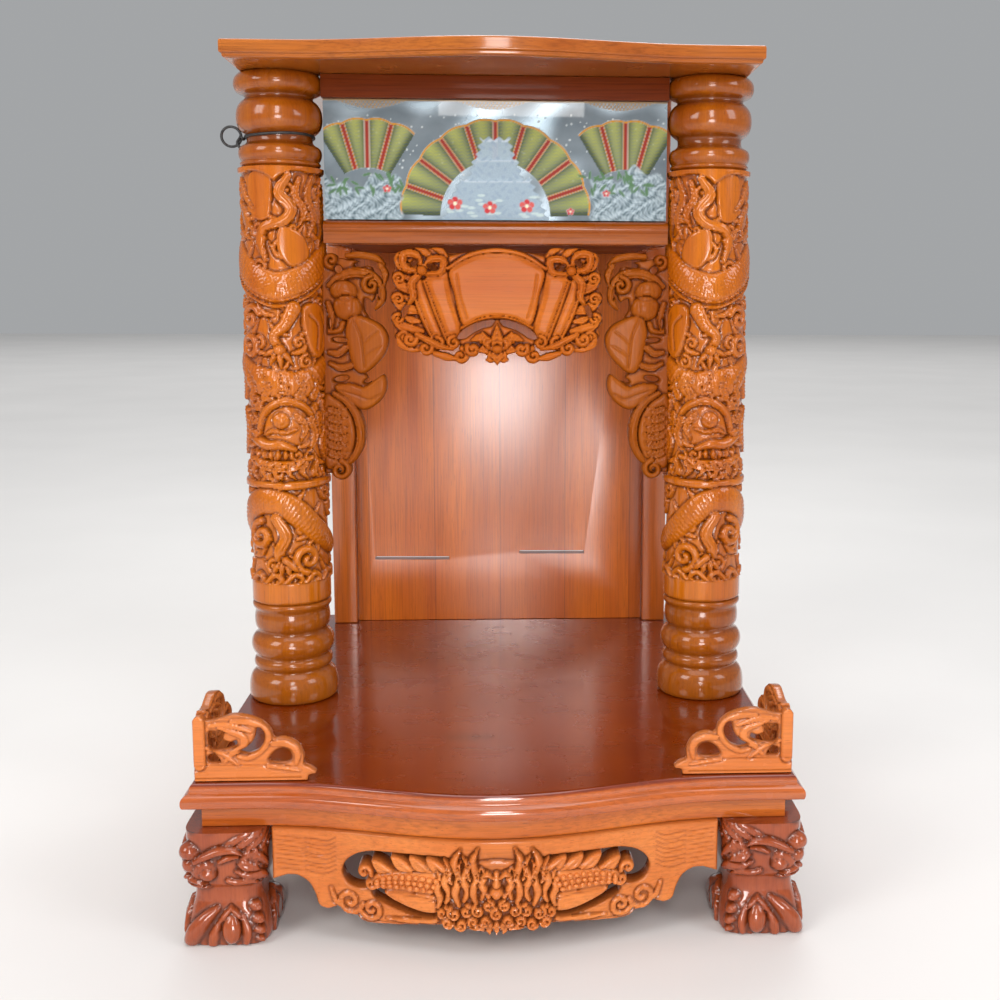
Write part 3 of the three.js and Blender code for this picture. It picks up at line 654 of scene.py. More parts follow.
class AltarWood(bpy.types.PropertyGroup):
    """Colours and gloss of the lacquered wood."""

    light: colour_property("Light grain", "Light bands of the lacquered wood", (0.70, 0.215, 0.024))
    dark: colour_property("Dark grain", "Dark bands of the lacquered wood", (0.47, 0.112, 0.012))
    # deep is also the colour that the hollows of a carving are darkened to: lacquer gathered there and painted
    # shade.
    deep: colour_property("Hollows", "Lacquer that has gathered in pores and hollows", (0.080, 0.014, 0.003))
    roughness: number_property("Roughness", "Roughness of the lacquer on the carved boards", 0.0, 1.0, 0.26,
                               subtype="FACTOR")
    hollows: number_property("Hollow darkening", "How much darker the hollows of a carving are", 0.0, 1.0,
                             0.85,
                             subtype="FACTOR")


class AltarCarving(bpy.types.PropertyGroup):
    """Depth and fineness of the carving."""

    grid: number_property("Carving grid", "Distance between the points of a carved face", 0.0005, 0.01, 0.001,
                          unit="LENGTH")
    depth: number_property("Carving depth", "Scale of the relief on every carved piece", 0.2, 1.5, 1.0,
                           subtype="FACTOR")
    ease: number_property("Eased edge", "Rounding of the plain boards' edges", 0.0, 0.003, 0.0009,
                          unit="LENGTH")
    wire: number_property("Wire radius", "Radius of the black wire tie", 0.0005, 0.003, 0.0012, unit="LENGTH")


class AltarStage(bpy.types.PropertyGroup):
    """Floor, lights and camera."""

    floor: colour_property("Floor", "Colour of the pale floor", (0.70, 0.685, 0.67))
    brightness: number_property("Brightness", "Scale of every light", 0.0, 5.0, 1.0)
    lens: number_property("Focal length", "Focal length of the camera", 10.0, 200.0, 43.27)


def sizes():
    """The user's sizes of the carving."""
    return bpy.context.scene.altar_carving


# Each wood: how much red, green and blue its light and its dark grain keep, the axis of the grain, the
# roughness, the share of the hollows' darkening, and whatever else sets it apart from plain lacquer.
WOODS = {
    # The deck's top face is painted darker (top), as painted shade against its lit beaded edge.
    "deck": ((0.76, 0.55, 0.4), (0.76, 0.55, 0.4), "X", 0.24, 0, {
        "coat": 1.0, "blur": 0.11, "gloss": 1.75, "boards": ("Y", 0.118, 0.35), "top": DECK_HIGH[2] * MM,
        "knot": (-0.022, -0.135)}),
    "rail": ((0.96, 0.88, 1.1), (0.96, 0.88, 1.1), "X", 0.20, 0, {"coat": 0.8}),
    "lintel": ((0.48, 0.37, 0.1), (0.48, 0.37, 0.1), "X", 0.22, 0, {"coat": 0.4}),
    "canopy": ((0.68, 0.66, 0.7), (0.66, 0.64, 0.7), "X", 0.20, 0, {"coat": 0.8}),
    # Top rail and ceiling board: a darker copy of the lacquer, as painted shade under the canopy.
    "top_rail": ((0.26, 0.16, 0.2), (0.26, 0.16, 0.2), "X", 0.40, 0, {"coat": 0.1}),
    "side": ((0.85, 0.70, 0.9), (0.8, 0.65, 0.9), "Y", 0.24, 0, {}),
    "back_board": ((1.0, 0.80, 0.3), (0.84, 0.64, 0.3), "Z", 0.34, 0, {
        "coat": 1.0, "blur": 0.24, "gloss": 1.75, "boards": ("X", 0.074, 0.0)}),
    "carved": ((1.02, 1.06, 2.2), (1.2, 1.3, 2.2), "X", None, 1.0, {}),
    # Valance and brackets: darker copies of the lacquer, as painted shade under the canopy and behind the
    # columns; the brackets are the darker.
    "valance": ((0.80, 0.70, 0.5), (0.84, 0.74, 0.5), "X", 0.40, 1.2, {"coat": 0.08}),
    "bracket": ((0.50, 0.42, 0.2), (0.52, 0.44, 0.2), "Z", 0.36, 1.0, {"coat": 0.08}),
    "column": ((0.86, 0.78, 0.2), (0.86, 0.77, 0.2), "Z", 0.22, 0.9, {"coat": 0.7}),
    "foot": ((0.54, 0.38, 0.9), (0.56, 0.40, 0.9), "Z", 0.16, 1.0, {"coat": 1.0}),
}
_made = {}


def toned(colour, share):
    """A colour that keeps a share of its red, green and blue."""
    return tuple(min(1.0, c * k) for c, k in zip(colour, share))


def wood(kind):
    """The cabinet's woods by name, each made once. The carved boards take the user's roughness."""
    if kind not in _made:
        user = bpy.context.scene.altar_wood
        light, dark, axis, roughness, hollows, others = WOODS[kind]
        _made[kind] = lacquered_wood(
            f"{kind}_lacquer", toned(user.light, light), toned(user.dark, dark), tuple(user.deep), axis,
            roughness or user.roughness, min(1.0, hollows * user.hollows), **others)
    return _made[kind]


# --- Plain and bowed boards ---


def bowed_ring(half_width, front, rear, z, bow):
    """The outline of a bow-fronted board at one height."""
    x = np.linspace(-half_width, half_width, BOW_POINTS)
    y = front - bow_at(x, half_width, bow)
    return [(-half_width, rear, z), *zip(x, y, np.full(len(x), z)), (half_width, rear, z)]


def moulded_board(name, low, high, bow, profile, material):
    """A board whose bowed front and sides follow a moulding profile of insets and rises."""
    front = low[1] + bow

    def at(inset, rise, margin=0.0):
        return bowed_ring(high[0] - inset - margin, front + inset + margin, high[1] - margin, low[2] + rise,
                          bow)

    # A narrow level margin above and below keeps the broad faces flat in the light.
    finer = spline(profile, 5 * len(profile))
    rings = [at(*finer[0], 1.2), *(at(*place) for place in finer), at(*finer[-1], 1.2)]
    return stacked(name, rings, material, 32.0)


def front_rail():
    """The bowed rail under the deck's front, its lower edge eased."""
    low, high = box_mm("front_rail")
    rings = []
    for inset, z in ((1.0, low[2]), (0.3, low[2] + 0.3), (0, low[2] + 1), (0, high[2] - 1), (0.6, high[2])):
        x = np.linspace(low[0], high[0], BOW_POINTS)
        face = low[1] + BOW - bow_at(x) + inset
        ring = [(a, b, z) for a, b in zip(x, face)]
        rings.append(ring + [(a, b + RAIL_THICK - inset, z) for a, b in zip(x[::-1], face[::-1])])
    return stacked("front_rail_lacquered", rings, wood("rail"), 32.0)


DECK_EDGE = [
    (4.5, 0), (1.2, 1.2), (0.2, 3.4), (0, 5.6), (0.3, 7.8), (1.6, 10.0), (4.4, 11.6), (5.6, 12.3),
    (5.8, 14.5), (6.4, 17.2), (7.6, 18.6), (8.6, 19),
]
CANOPY_EDGE = [
    (5, 0), (2.6, 0.9), (2.1, 2.2), (1.8, 3.4), (0.4, 4.2), (0, 5.4), (0, 8), (0, 12.2), (0.5, 14.2),
    (1.8, 15),
]


class ALTAR_OT_deck(bpy.types.Operator):
    """Builds the bow-fronted deck board with its beaded edge, the frame under it and the canopy board"""

    bl_idname = "altar.deck"
    bl_label = "Deck, Rails and Canopy"

    def execute(self, context):
        deck = moulded_board("deck_lacquered", DECK_LOW, DECK_HIGH, BOW, DECK_EDGE, wood("deck"))
        finish_piece(deck, "deck_wood", "deck_board")
        canopy = moulded_board(
            "canopy_lacquered", *box_mm("canopy_board"), CANOPY_BOW, CANOPY_EDGE, wood("canopy"))
        finish_piece(canopy, "frame_wood", "canopy_board")
        finish_piece(front_rail(), "frame_wood", "front_rail")
        for node, kind, slot in (
            ("side_rail_left", "side", "frame_wood"), ("side_rail_right", "side", "frame_wood"),
            ("rear_rail", "rail", "frame_wood"), ("rear_apron", "rail", "carved_wood"),
            ("side_apron_left", "side", "carved_wood"), ("side_apron_right", "side", "carved_wood"),
        ):
            dressed(node, wood(kind), slot, sizes().ease / MM)
        return {"FINISHED"}


def lintel():
    """The moulded lintel between the columns, swept over its width with eased ends."""
    low, high = LINTEL_LOW, LINTEL_HIGH
    moulding = [(4, 0), (2.4, 0.5), (2, 2), (2, 9.5), (1.4, 10.6), (0.2, 12), (0, 14.5), (1.1, 17), (4, 19.4)]
    profile = [(high[1], low[2]), *((low[1] + inset, low[2] + rise) for inset, rise in moulding),
               (low[1] + 8, high[2] - 0.4), (high[1], high[2])]
    rings = [[(x, y, z) for y, z in profile] for x in (low[0], low[0] + 0.6, high[0] - 0.6, high[0])]
    return stacked("lintel_moulded", rings, wood("lintel"), 40.0)


class ALTAR_OT_case(bpy.types.Operator):
    """Eases the edges of the posts, the back boards and the box behind the painted glass"""

    bl_idname = "altar.case"
    bl_label = "Back, Posts and Glass Box"

    def execute(self, context):
        ease = sizes().ease / MM
        for node, kind, slot, bevel in (
            ("rear_post_left", "back_board", "panel_wood", 1.6),
            ("rear_post_right", "back_board", "panel_wood", 1.6),
            ("back_panel", "back_board", "panel_wood", 0.6),
            ("box_side_left", "side", "frame_wood", ease), ("box_side_right", "side", "frame_wood", ease),
            ("ceiling_board", "top_rail", "frame_wood", ease), ("top_rail", "top_rail", "frame_wood", ease),
        ):
            dressed(node, wood(kind), slot, bevel)
        finish_piece(lintel(), "frame_wood", "lintel")
        return {"FINISHED"}


# --- Columns ---


def gouged_ground(shaft):
    """Rough gouged ground with shallow clouds."""
    around = shaft.around
    ripple = np.sin(6 * 2 * np.pi * shaft.X / around + 0.11 * shaft.Z)
    shaft.height += 0.4 * ripple * np.sin(0.16 * shaft.Z + 1.3 * np.sin(shaft.X / 11))
    for row in range(22):
        for column in range(8):
            x = (column + 0.5 * (row % 2) + 0.18 * math.sin(5 * row + 3 * column)) * around / 8 - around / 2
            level = 240 + row * 16.6
            hand = 1 if (row + column) % 2 else -1
            if (row + column) % 3:
                shaft.curl(x, level, 6.8, 1.25, 90 * ((3 * row + column) % 4), hand, 2.0, 2.2)
            shaft.stroke([(x - hand * 6, level - 9), (x + hand * 4, level - 6), (x + hand * 11, level + 5)],
                         [1.6, 2.6, 0.5], 2.2, "ribbon")


def flames_and_antlers(shaft):
    """Flames and antlers that climb to the collar."""
    for x, foot, tip in ((-88, 548, 600), (-58, 546, 602), (46, 542, 600), (62, 538, 596), (84, 545, 602)):
        flame = [(x, foot), (x + 6, foot + 14), (x - 3, foot + 30), (x + 3, tip)]
        shaft.stroke(flame, [5.5, 5, 3.6, 0.5], 3.2, "leaf")
    shaft.plate([(-26, 600), (-4, 602), (-3, 575), (-8, 562), (-24, 568)], 1.2, 0.4)
    shaft.stroke([(12, 600), (4, 586), (14, 573), (8, 562), (-10, 556), (-14, 544), (-9, 528)],
                 [3.4, 5.0, 5.4, 4.6, 4.2, 4.0, 2.0], 3.8, "ribbon")
    shaft.strokes(
        "leaf",
        ([(22, 598), (18, 584), (26, 570), (20, 556)], [2.2, 3.6, 3.4, 0.6], 3.2),
        ([(36, 600), (30, 584), (38, 566), (30, 548)], [2.2, 3.6, 3.4, 0.6], 3.0),
        ([(-40, 596), (-30, 582), (-20, 572)], [3.5, 3, 0.6], 3.0),
        ([(-44, 578), (-32, 570), (-26, 558), (-16, 553)], [3.5, 3.2, 2.6, 0.6], 3.2),
        ([(-46, 556), (-34, 550), (-24, 546)], [3.2, 2.8, 0.6], 3.0),
    )
    shaft.plate([(4, 556), (24, 550), (30, 530), (14, 522), (2, 536)], 1.6, 0.5)


def upper_coil(shaft):
    """The scaled coil that hangs low in front, with two cords under it."""
    coil = [(-105, 566), (-74, 548), (-44, 524), (-18, 508), (2, 503), (26, 511), (54, 530), (80, 552),
            (105, 566)]
    shaft.stroke(coil, [13, 14, 15, 15, 15, 14, 14, 13, 13], 3.8, scales=3.8)
    shaft.stroke([(x, level - 15.0) for x, level in coil], [1.5], 3.6)
    shaft.stroke([(x, level - 10.5) for x, level in coil], [0.8], 4.0, base=0.4)


def foreleg(shaft):
    """The foreleg and its claws, beside a broad plain flame."""
    shaft.plate([(22, 486), (40, 490), (52, 474), (50, 452), (36, 442), (26, 456)], 2.4, 0.6)
    shaft.groove([(28, 480), (38, 470), (36, 450)], 1.0, 1.4)
    shaft.groove([(42, 482), (47, 468), (43, 452)], 0.9, 1.2)
    shaft.stroke([(14, 486), (6, 472), (-4, 462), (2, 448)], [7, 5.5, 4.4, 4.0], [3.8, 4.0, 4.2], scales=3.6)
    for dx, dz in ((-15, -5), (-9, -14), (1, -18), (12, -14)):
        claw = [(1, 450), (1 + dx * 0.6, 450 + dz * 0.5), (1 + dx, 450 + dz)]
        shaft.stroke(claw, [3.2, 2.8, 0.5], [4.6, 4.8, 2.6])
    shaft.boss(1, 450, 5.5, 5, 5.4)
    shaft.curl(-28, 478, 11, 1.3, 20, 1, 3.0, 3.4)
    shaft.curl(-30, 452, 12, 1.4, 200, -1, 3.2, 3.4)


def haunch_and_mane(shaft):
    """The scaled haunch with a fringe, and the mane's locks standing out round the head."""
    shaft.stroke([(-62, 446), (-34, 428), (-4, 420), (24, 420), (50, 436)], [10, 12, 13, 12, 8], 3.6,
                 scales=4.6)
    for x in range(-44, 46, 15):
        shaft.stroke([(x, 408), (x + 4, 418), (x - 2, 430)], [3.8, 3.2, 0.5], 4.4, "leaf")
    for k in range(11):
        a = math.radians(-20 + 26 * k)
        root = (6 + 25 * math.cos(a), 380 + 20 * math.sin(a))
        tip = (6 + 39 * math.cos(a + 0.22), 380 + 33 * math.sin(a + 0.22))
        bend = ((root[0] + tip[0]) / 2 + 2, (root[1] + tip[1]) / 2 + 2)
        shaft.stroke([root, bend, tip], [3.6, 3.2, 0.5], 3.4, "leaf")


def dragon_head(shaft):
    """Brow arch, ringed eye, snout, jaws, teeth and whiskers."""
    shaft.boss(6, 384, 25, 20, 3.0)
    shaft.strokes(
        "ribbon",
        ([(-20, 378), (-13, 396), (4, 405), (22, 399), (32, 384)], [2.6, 3.4, 3.6, 3.2, 1.6], 5.2),
        ([(-12, 376), (-6, 379), (4, 377), (14, 380)], [1.4, 2.2, 2.2, 0.8], 4.4),
    )
    shaft.eye(1, 388, 7.4, 6.4)
    shaft.strokes(
        "leaf",
        ([(14, 392), (22, 382), (18, 370)], [3, 3.6, 1], 5.0),
        ([(26, 388), (32, 374), (26, 360)], [3, 3.6, 1], 4.6),
    )
    shaft.stroke([(-26, 372), (-14, 366), (0, 366), (12, 362)], [4.4, 5.0, 4.6, 2.4], 4.8)
    shaft.boss(-24, 376, 5, 4.4, 5.6)
    shaft.eye(-24, 377, 2.6, 6.2)
    for k in range(5):
        shaft.boss(-22 + 6.5 * k, 357, 2.1, 4.2, 4.4)
    shaft.stroke([(-28, 352), (-10, 347), (10, 347), (28, 354)], [4, 5, 5, 2], 4.6, "ribbon")
    for x in range(-38, 46, 12):
        shaft.stroke([(x, 349), (x - 4, 342), (x + 3, 334)], [2.6, 2.6, 0.4], 3.8, "leaf")
    shaft.strokes(
        "leaf",
        ([(-50, 396), (-38, 384), (-40, 368), (-50, 356)], [3.6, 4.2, 4, 1], 4.0),
        ([(44, 402), (50, 384), (42, 366), (48, 348)], [3.6, 4.6, 4.2, 1], 4.0),
    )


def lower_coil(shaft):
    """A plain cord under the head, then the lower coil, the tail and a hind paw."""
    shaft.stroke([(-105, 330), (-50, 331), (0, 329), (50, 331), (105, 330)], [3.6], 3.8, "flat")
    coil = [(-105, 268), (-70, 284), (-40, 306), (-16, 316), (8, 308), (34, 286), (62, 270), (105, 268)]
    shaft.stroke(coil, [10, 11, 12, 12, 12, 11, 10, 10], 4.0, scales=4.0)
    shaft.curl(-22, 284, 13, 1.3, 90, 1, 3.6, 4.4)
    shaft.curl(22, 262, 13, 1.35, 270, -1, 3.6, 4.2)
    shaft.stroke([(-6, 300), (2, 284), (-4, 268), (4, 252)], [5, 5.4, 5, 3], 4.6, "ribbon")
    for dx in (-14, -5, 5, 14):
        shaft.stroke([(1, 262), (1 + 0.6 * dx, 254), (1 + dx, 243)], [3.4, 3, 0.5], [4.6, 4.4, 2.4])


def waves_and_drape(shaft):
    """Curling waves on a plain band at the foot, and a drape falling to a cusp under the collar."""
    around = shaft.around
    for k in range(12):
        x = -around / 2 + (k + 0.5) * around / 12
        shaft.stroke([(x - 9, 240), (x, 248), (x + 7, 244), (x + 3, 239)], [2.2, 2.8, 2.4, 1.2], 3.4)
    fall = 4.5 + 7.5 * np.exp(-np.abs(shaft.X) / 6.0) + 2.0 * np.cos(6 * np.pi * shaft.X / around) ** 2
    for lift, cover in ((3.4, shaft.Z - (SHAFT_TOP - fall)), (1.6, SHAFT_BOTTOM + 20 - shaft.Z)):
        edge = np.clip(cover / 1.2, 0, 1)
        shaft.height = np.where(edge > 0, lift * np.sqrt(1 - (1 - edge) ** 2), shaft.height)


def dragon_shaft():
    """The unrolled carving of the left shaft: a dragon coiling among flames, clouds and waves."""
    around = 2 * math.pi * SHAFT_RADIUS
    shaft = Carving(-around / 2, around / 2, SHAFT_BOTTOM, SHAFT_TOP, SHAFT_GRID, around=around)
    for carve in (gouged_ground, flames_and_antlers, upper_coil, foreleg, haunch_and_mane, dragon_head,
                  lower_coil,
                  waves_and_drape):
        carve(shaft)
    return shaft


# Radius and height of the turned base, above the deck, and of the capital, above the floor.
BASE_TURNING = [
    (38.6, 0), (40.2, 2.4), (40.8, 7), (40.5, 13), (39.6, 18), (37.8, 22.5), (34.6, 25.8), (33.2, 27.6),
    (33.8, 29.2), (35.4, 31.4), (35.8, 34), (35.0, 37), (33.2, 39), (33.4, 41), (35.6, 43.4), (37.2, 47),
    (37.8, 51), (37.0, 55.4), (35.0, 59), (32.6, 61.4), (31.8, 63.4), (32.2, 65.6), (33.4, 67.4), (34.2, 72),
    (34.0, 78), (33.2, 82), (33.8, 84.4), (35.4, 86.6), (35.8, 88.6), (35.0, 90.6), (33.2, 91.4),
]
CAPITAL_TURNING = [
    (33.0, 609.4), (34.6, 610.6), (35.0, 612.4), (33.6, 614.2), (34.8, 616), (36.0, 619.4), (36.0, 623),
    (34.6, 626.2), (31.0, 628.4), (28.8, 630.6), (28.4, 633.5), (28.8, 636.6), (31.4, 638.6), (34.8, 641.8),
    (36.9, 647), (37.3, 653), (36.2, 659.6), (33.0, 664.6), (30.0, 667), (29.4, 669.2), (31.6, 671.2),
    (36.0, 673.2), (38.4, 677), (38.8, 681), (37.8, 685),
]


def column(name, side, material):
    """A turned and carved column. The right one mirrors the left one."""
    shaft = dragon_shaft()
    angle = side * -1 * shaft.x / SHAFT_RADIUS
    rings, shade = [], []

    def add_ring(radius, z, hollow):
        x, y = side * COLUMN_X + radius * np.sin(angle), COLUMN_Y - radius * np.cos(angle)
        rings.append(np.stack([x, y, np.full(len(angle), z)], 1))
        shade.append(hollow)

    def turned(profile):
        for radius, z in spline(profile, 2 * len(profile)):
            # The turnings take a darker tone, more in their narrow grooves: darker lacquer there and painted
            # shade.
            dark = 0.48 + np.clip((35.0 - radius) / 9.0, 0, 0.45)
            add_ring(np.full(len(angle), radius), z, np.full(len(angle), dark))

    turned([(radius, COLUMN_LOW[2] + rise) for radius, rise in BASE_TURNING])
    hollow = shaft.hollow()
    for row, z in enumerate(shaft.z[1:-1], 1):
        add_ring(SHAFT_RADIUS - 0.9 + sizes().depth * shaft.height[row], z, hollow[row])
    turned(CAPITAL_TURNING + [(34.6, COLUMN_HIGH[2])])
    piece = stacked(name, rings, material, 60.0, shade)
    finish_piece(piece, "column_wood", "column_left" if side < 0 else "column_right")


class ALTAR_OT_columns(bpy.types.Operator):
    """Builds the two turned columns with dragons coiling round their shafts"""

    bl_idname = "altar.columns"
    bl_label = "Carved Columns"

    def execute(self, context):
        for name, side in SIDES:
            column(f"column_{name}_carved", side, wood("column"))
        return {"FINISHED"}


# --- Feet ---


def lion_face(foot, corner, side):
    """One half of the lion's face: cheek, ear, locks of the mane, muzzle, eye, brow and jaw."""

    def at(points):
        return [(corner + side * a, b) for a, b in points]

    foot.strokes(
        "ribbon",
        (at([(60, 62), (52, 70), (44, 72), (38, 66)]), [2.0, 3.4, 3.6, 1.4], 3.4),
        (at([(62, 50), (54, 55), (44, 56), (36, 60)]), [2.0, 3.4, 3.6, 1.4], 3.6),
    )
    foot.plate(at([(37, 66), (42, 70), (49, 66), (52, 60), (46, 60), (40, 61)]), 4.6, 0.8, 2.6)
    foot.groove(at([(39, 66), (44, 65), (50, 61)]), 0.9, 1.6)
    foot.stroke(at([(50, 76), (46, 70), (52, 64)]), [1.6, 2.4, 0.8], 3.0, "leaf")
    foot.stroke(at([(30, 52), (36, 50), (45, 51), (53, 48)]), [2.4, 2.8, 2.6, 0.8], 3.0)
    foot.boss(corner + side * 10, 62, 11, 9.5, 5.0, side * -20)
    foot.eye(corner + side * 15.5, 58, 5.4, 6.4)
    foot.strokes(
        "round",
        (at([(7, 68), (14, 72.5), (23, 76.5), (33, 77.5), (40, 74)]), [2.4, 3.2, 3.4, 3.0, 1.0], 6.0),
        (at([(24, 68), (30, 71), (37, 72)]), [1.6, 2.4, 1.0], 4.0),
        (at([(2, 54), (7, 51.5), (13, 50)]), [2.6, 2.6, 1.0], 5.4),
        (at([(1, 47), (7, 46.5), (14, 46)]), [2.4, 2.6, 1.0], 4.6),
    )


def clawed_paw(foot, corner):
    """A pointed toe under a V-shaped fold in the middle of every face, a claw swept down at every corner."""
    for k in range(-2, 2):
        x = k * foot.around / 4 + 4.5
        foot.boss(x, 14, 6.6, 12.5, 6.4, power=0.6)
        foot.strokes(
            "round",
            ([(x - 8.5, 19), (x - 4, 25), (x, 29)], [1.6, 2.2, 1.4], 4.8),
            ([(x + 7.5, 21.5), (x + 4, 25.5), (x, 29)], [1.6, 2.2, 1.4], 4.8),
            ([(x + 9, 22), (x + 11, 12), (x + 10, 2)], [1.8, 3.0, 2.0], [2.6, 3.6, 3.0]),
            ([(x - 9, 18), (x - 12, 10), (x - 13, 2)], [1.8, 3.2, 3.2], [2.6, 3.8, 3.4]),
        )
    for sign, x in ((1, corner), (-1, 3 * corner), (-1, -3 * corner)):
        foot.strokes(
            "round",
            ([(x + sign * 19, 28), (x + sign * 12, 22), (x + sign * 6, 13), (x + sign * 1, 3)],
             [3.0, 5.4, 6.6, 5.6], [4.0, 7.0, 7.6, 6.0]),
            ([(x - sign * 14, 30), (x - sign * 9, 21), (x - sign * 5, 9)], [2.4, 3.6, 2.2], [3, 4.4, 3.4]),
        )
    x = -corner - 2
    for z, r in ((29.5, 5.2), (20.0, 4.6), (11.5, 4.0), (4.5, 3.0)):
        foot.boss(x, z, r, 0.78 * r, 6.4)
        foot.groove([(x - 0.5 * r, z - 1), (-corner - 1, z + 0.8), (x + 0.6 * r, z)], 0.8, 1.6)


def lion_foot_carving(around, top):
    """The unrolled left front foot: a lion's head over a clawed paw, its nose at the outer corner."""
    foot = Carving(-around / 2, around / 2, 0.0, top, FOOT_GRID, around=around)
    corner = -around / 8
    # Hair combed back and up from the brow, on every face.
    for k in range(10):
        for x, way in ((-1 + 9.5 * k, 1), (2 * corner - (-1 + 9.5 * k), -1)):
            foot.stroke([(x, 77), (x + way * 8, 83), (x + way * 19, 90)], [1.6, 2.8, 2.0], 2.6, "leaf")
    for side in (-1, 1):
        lion_face(foot, corner, side)
    foot.boss(corner, 75, 8.6, 7.2, 9.0)
    foot.boss(corner, 64, 7.0, 6.0, 6.5)
    clawed_paw(foot, corner)
    # A plain neck and a level border under the frame.
    foot.height *= 1 - 0.85 * np.clip(np.minimum((foot.Z - 32.5) / 2.5, (46.0 - foot.Z) / 2.5), 0, 1)
    foot.height *= np.clip((top - foot.Z) / 2.5, 0.3, 1.0)
    return foot


# Half width of a front foot at each height.
FOOT_PROFILE = [
    (32.4, 0), (33.6, 2), (34.0, 6), (33.4, 12), (31.6, 20), (29.2, 28), (27.4, 34), (26.8, 40), (27.4, 45),
    (30.2, 48.5), (31.6, 53), (32.2, 60), (32.6, 70), (32.4, 80), (32.2, 93),
]


# The power that squares the foot's section, and the half width that its outline is unrolled at.
SQUARENESS = 4.2
UNROLLED_HALF = 30.0


def squared(angle):
    """How far a rounded square of half width 1 reaches out at an angle."""
    return (np.abs(np.cos(angle)) ** SQUARENESS + np.abs(np.sin(angle)) ** SQUARENESS) ** (-1 / SQUARENESS)


def foot_piece(node, side, ending, front):
    """A foot worked from a rounded square block: a lion's head and paw in front, plain behind."""
    low, high = box_mm(node)
    centre_x = side * abs(low[0] + high[0]) / 2
    centre_y = (low[1] + high[1]) / 2 + (1.5 if front else 0)
    a = np.linspace(0, 2 * np.pi, 1441)
    x, y = squared(a) * np.sin(a), -squared(a) * np.cos(a)
    run = np.concatenate([[0], np.cumsum(np.hypot(np.diff(x), np.diff(y)))])
    around = run[-1] * UNROLLED_HALF
    if front:
        foot = lion_foot_carving(around, high[2])
    else:
        foot = Carving(-around / 2, around / 2, 0.0, high[2], REAR_FOOT_GRID, around=around)
        foot.groove([(-around / 2, 50), (0, 50), (around / 2, 50)], 1.6, 1.6)
    angle = -side * np.interp(np.mod(foot.x / UNROLLED_HALF, run[-1]), run, a)
    profile = spline(FOOT_PROFILE, 90)
    rings = []
    for row, z in enumerate(foot.z):
        half = np.interp(z, profile[:, 1], profile[:, 0])
        if not front:
            half = min(half + 1.0, 32.5)
        out = half * squared(angle) + 0.8 * foot.height[row] * sizes().depth - (0.8 if front else 0)
        x, y = centre_x + out * np.sin(angle), centre_y - out * np.cos(angle)
        rings.append(np.stack([x, y, np.full(len(angle), z)], 1))
    rings = np.array(rings)
    if front:
        # No hair or claw stands further out than this, or inwards past the foot's own side.
        limits = (low[0] - 1.0, high[0]) if side < 0 else (low[0], high[0] + 1.0)
        rings[:, :, 0] = np.clip(rings[:, :, 0], *limits)
        rings[:, :, 1] = np.maximum(rings[:, :, 1], low[1] - 4)
    finish_piece(stacked(f"{node}_{ending}", rings, wood("foot"), 60.0, foot.hollow()), "foot_wood", node)


class ALTAR_OT_feet(bpy.types.Operator):
    """Builds the two lion feet in front and the two plain feet behind"""

    bl_idname = "altar.feet"
    bl_label = "Feet"

    def execute(self, context):
        for name, side in SIDES:
            foot_piece(f"foot_front_{name}", side, "carved", True)
            foot_piece(f"foot_rear_{name}", side, "shaped", False)
        return {"FINISHED"}


# --- Front apron ---


def wave_cut_ends(board, half):
    """Flat ripples at the ends, deeper ones inside them, and scrolls and a cut line on the lower border."""
    for k in range(8):
        z = 58.5 + 3.7 * k
        board.groove([(170, z), (162, z - 0.8), (154, z - 1.6), (147, z - 2.4)], 0.6, 0.7, both=True)
        inner = [(148, z - 1.0), (140, z - 3.2 + 1.4 * (k % 2)), (131, z - 2.8), (124, z + 0.6)]
        board.groove(inner, 0.7, 0.9, both=True)
    for x, z, r, hand, start in ((113, 35, 10.5, 1, 190), (96, 30, 8.5, -1, 340)):
        board.curl(x, z, r, 1.4, start, hand, 2.0, 1.5, both=True, section="ribbon")
    board.stroke([(128, 44), (124, 34), (116, 28)], [1.2, 2.2, 0.8], 1.2, "ribbon", both=True)
    line = [(half - a, z) for a, z in ((52, 31), (59, 28), (67, 25), (72, 21.5), (84, 20.8))]
    board.groove([*line, (66, 22.4), (44, 24.2)], 0.6, 0.8, both=True)
    board.stroke([(46, 25.6), (66, 24.4), (84, 24)], [1.6, 2.0, 0.8], 1.4, "flat", both=True)


def sprays(board):
    """Sprays spreading out from the mask: pointed lobes above, a smooth wedge below."""
    for x, z in ((95, 71), (80, 75.5), (66, 76), (53, 76)):
        lobe = [(0, 0), (-1, -6), (-5, -11), (-12, -16), (-24, -18), (-20, -10), (-9, -2)]
        board.plate([(x + dx, z + dz) for dx, dz in lobe], 2.6, 1.4, 4.0, both=True)
        board.groove([(x - 3, z - 3), (x - 9, z - 8), (x - 17, z - 13)], 0.8, 1.0, both=True)
    board.plate([(42, 48), (42, 64), (60, 65), (78, 63), (93, 59), (98, 53), (86, 48), (66, 46)], 2.2, 0.4,
                3.0, both=True)
    board.curl(101, 60.5, 5.4, 1.1, 200, -1, 2.1, 3.6, base=0.4, both=True)
    board.curl(96, 52, 4.8, 1.1, 160, 1, 1.9, 3.4, base=0.4, both=True)
    board.plate([(42, 32.5), (52, 31.5), (64, 34.5), (76, 39), (85, 44.5), (84, 48), (72, 48.5), (56, 47.5),
                 (42, 47)],
                3.6, 0.4, 3.4, both=True)
    board.groove([(82, 46.5), (68, 46.2), (54, 45), (44, 43)], 0.7, 1.2, both=True)
    board.part([(44, 33.2), (46, 27.5), (58, 27), (72, 30.5), (86, 35.5), (94, 39.5), (94, 43.4), (88, 43.6),
                (76, 39.4), (64, 35), (54, 33.2)], both=True)


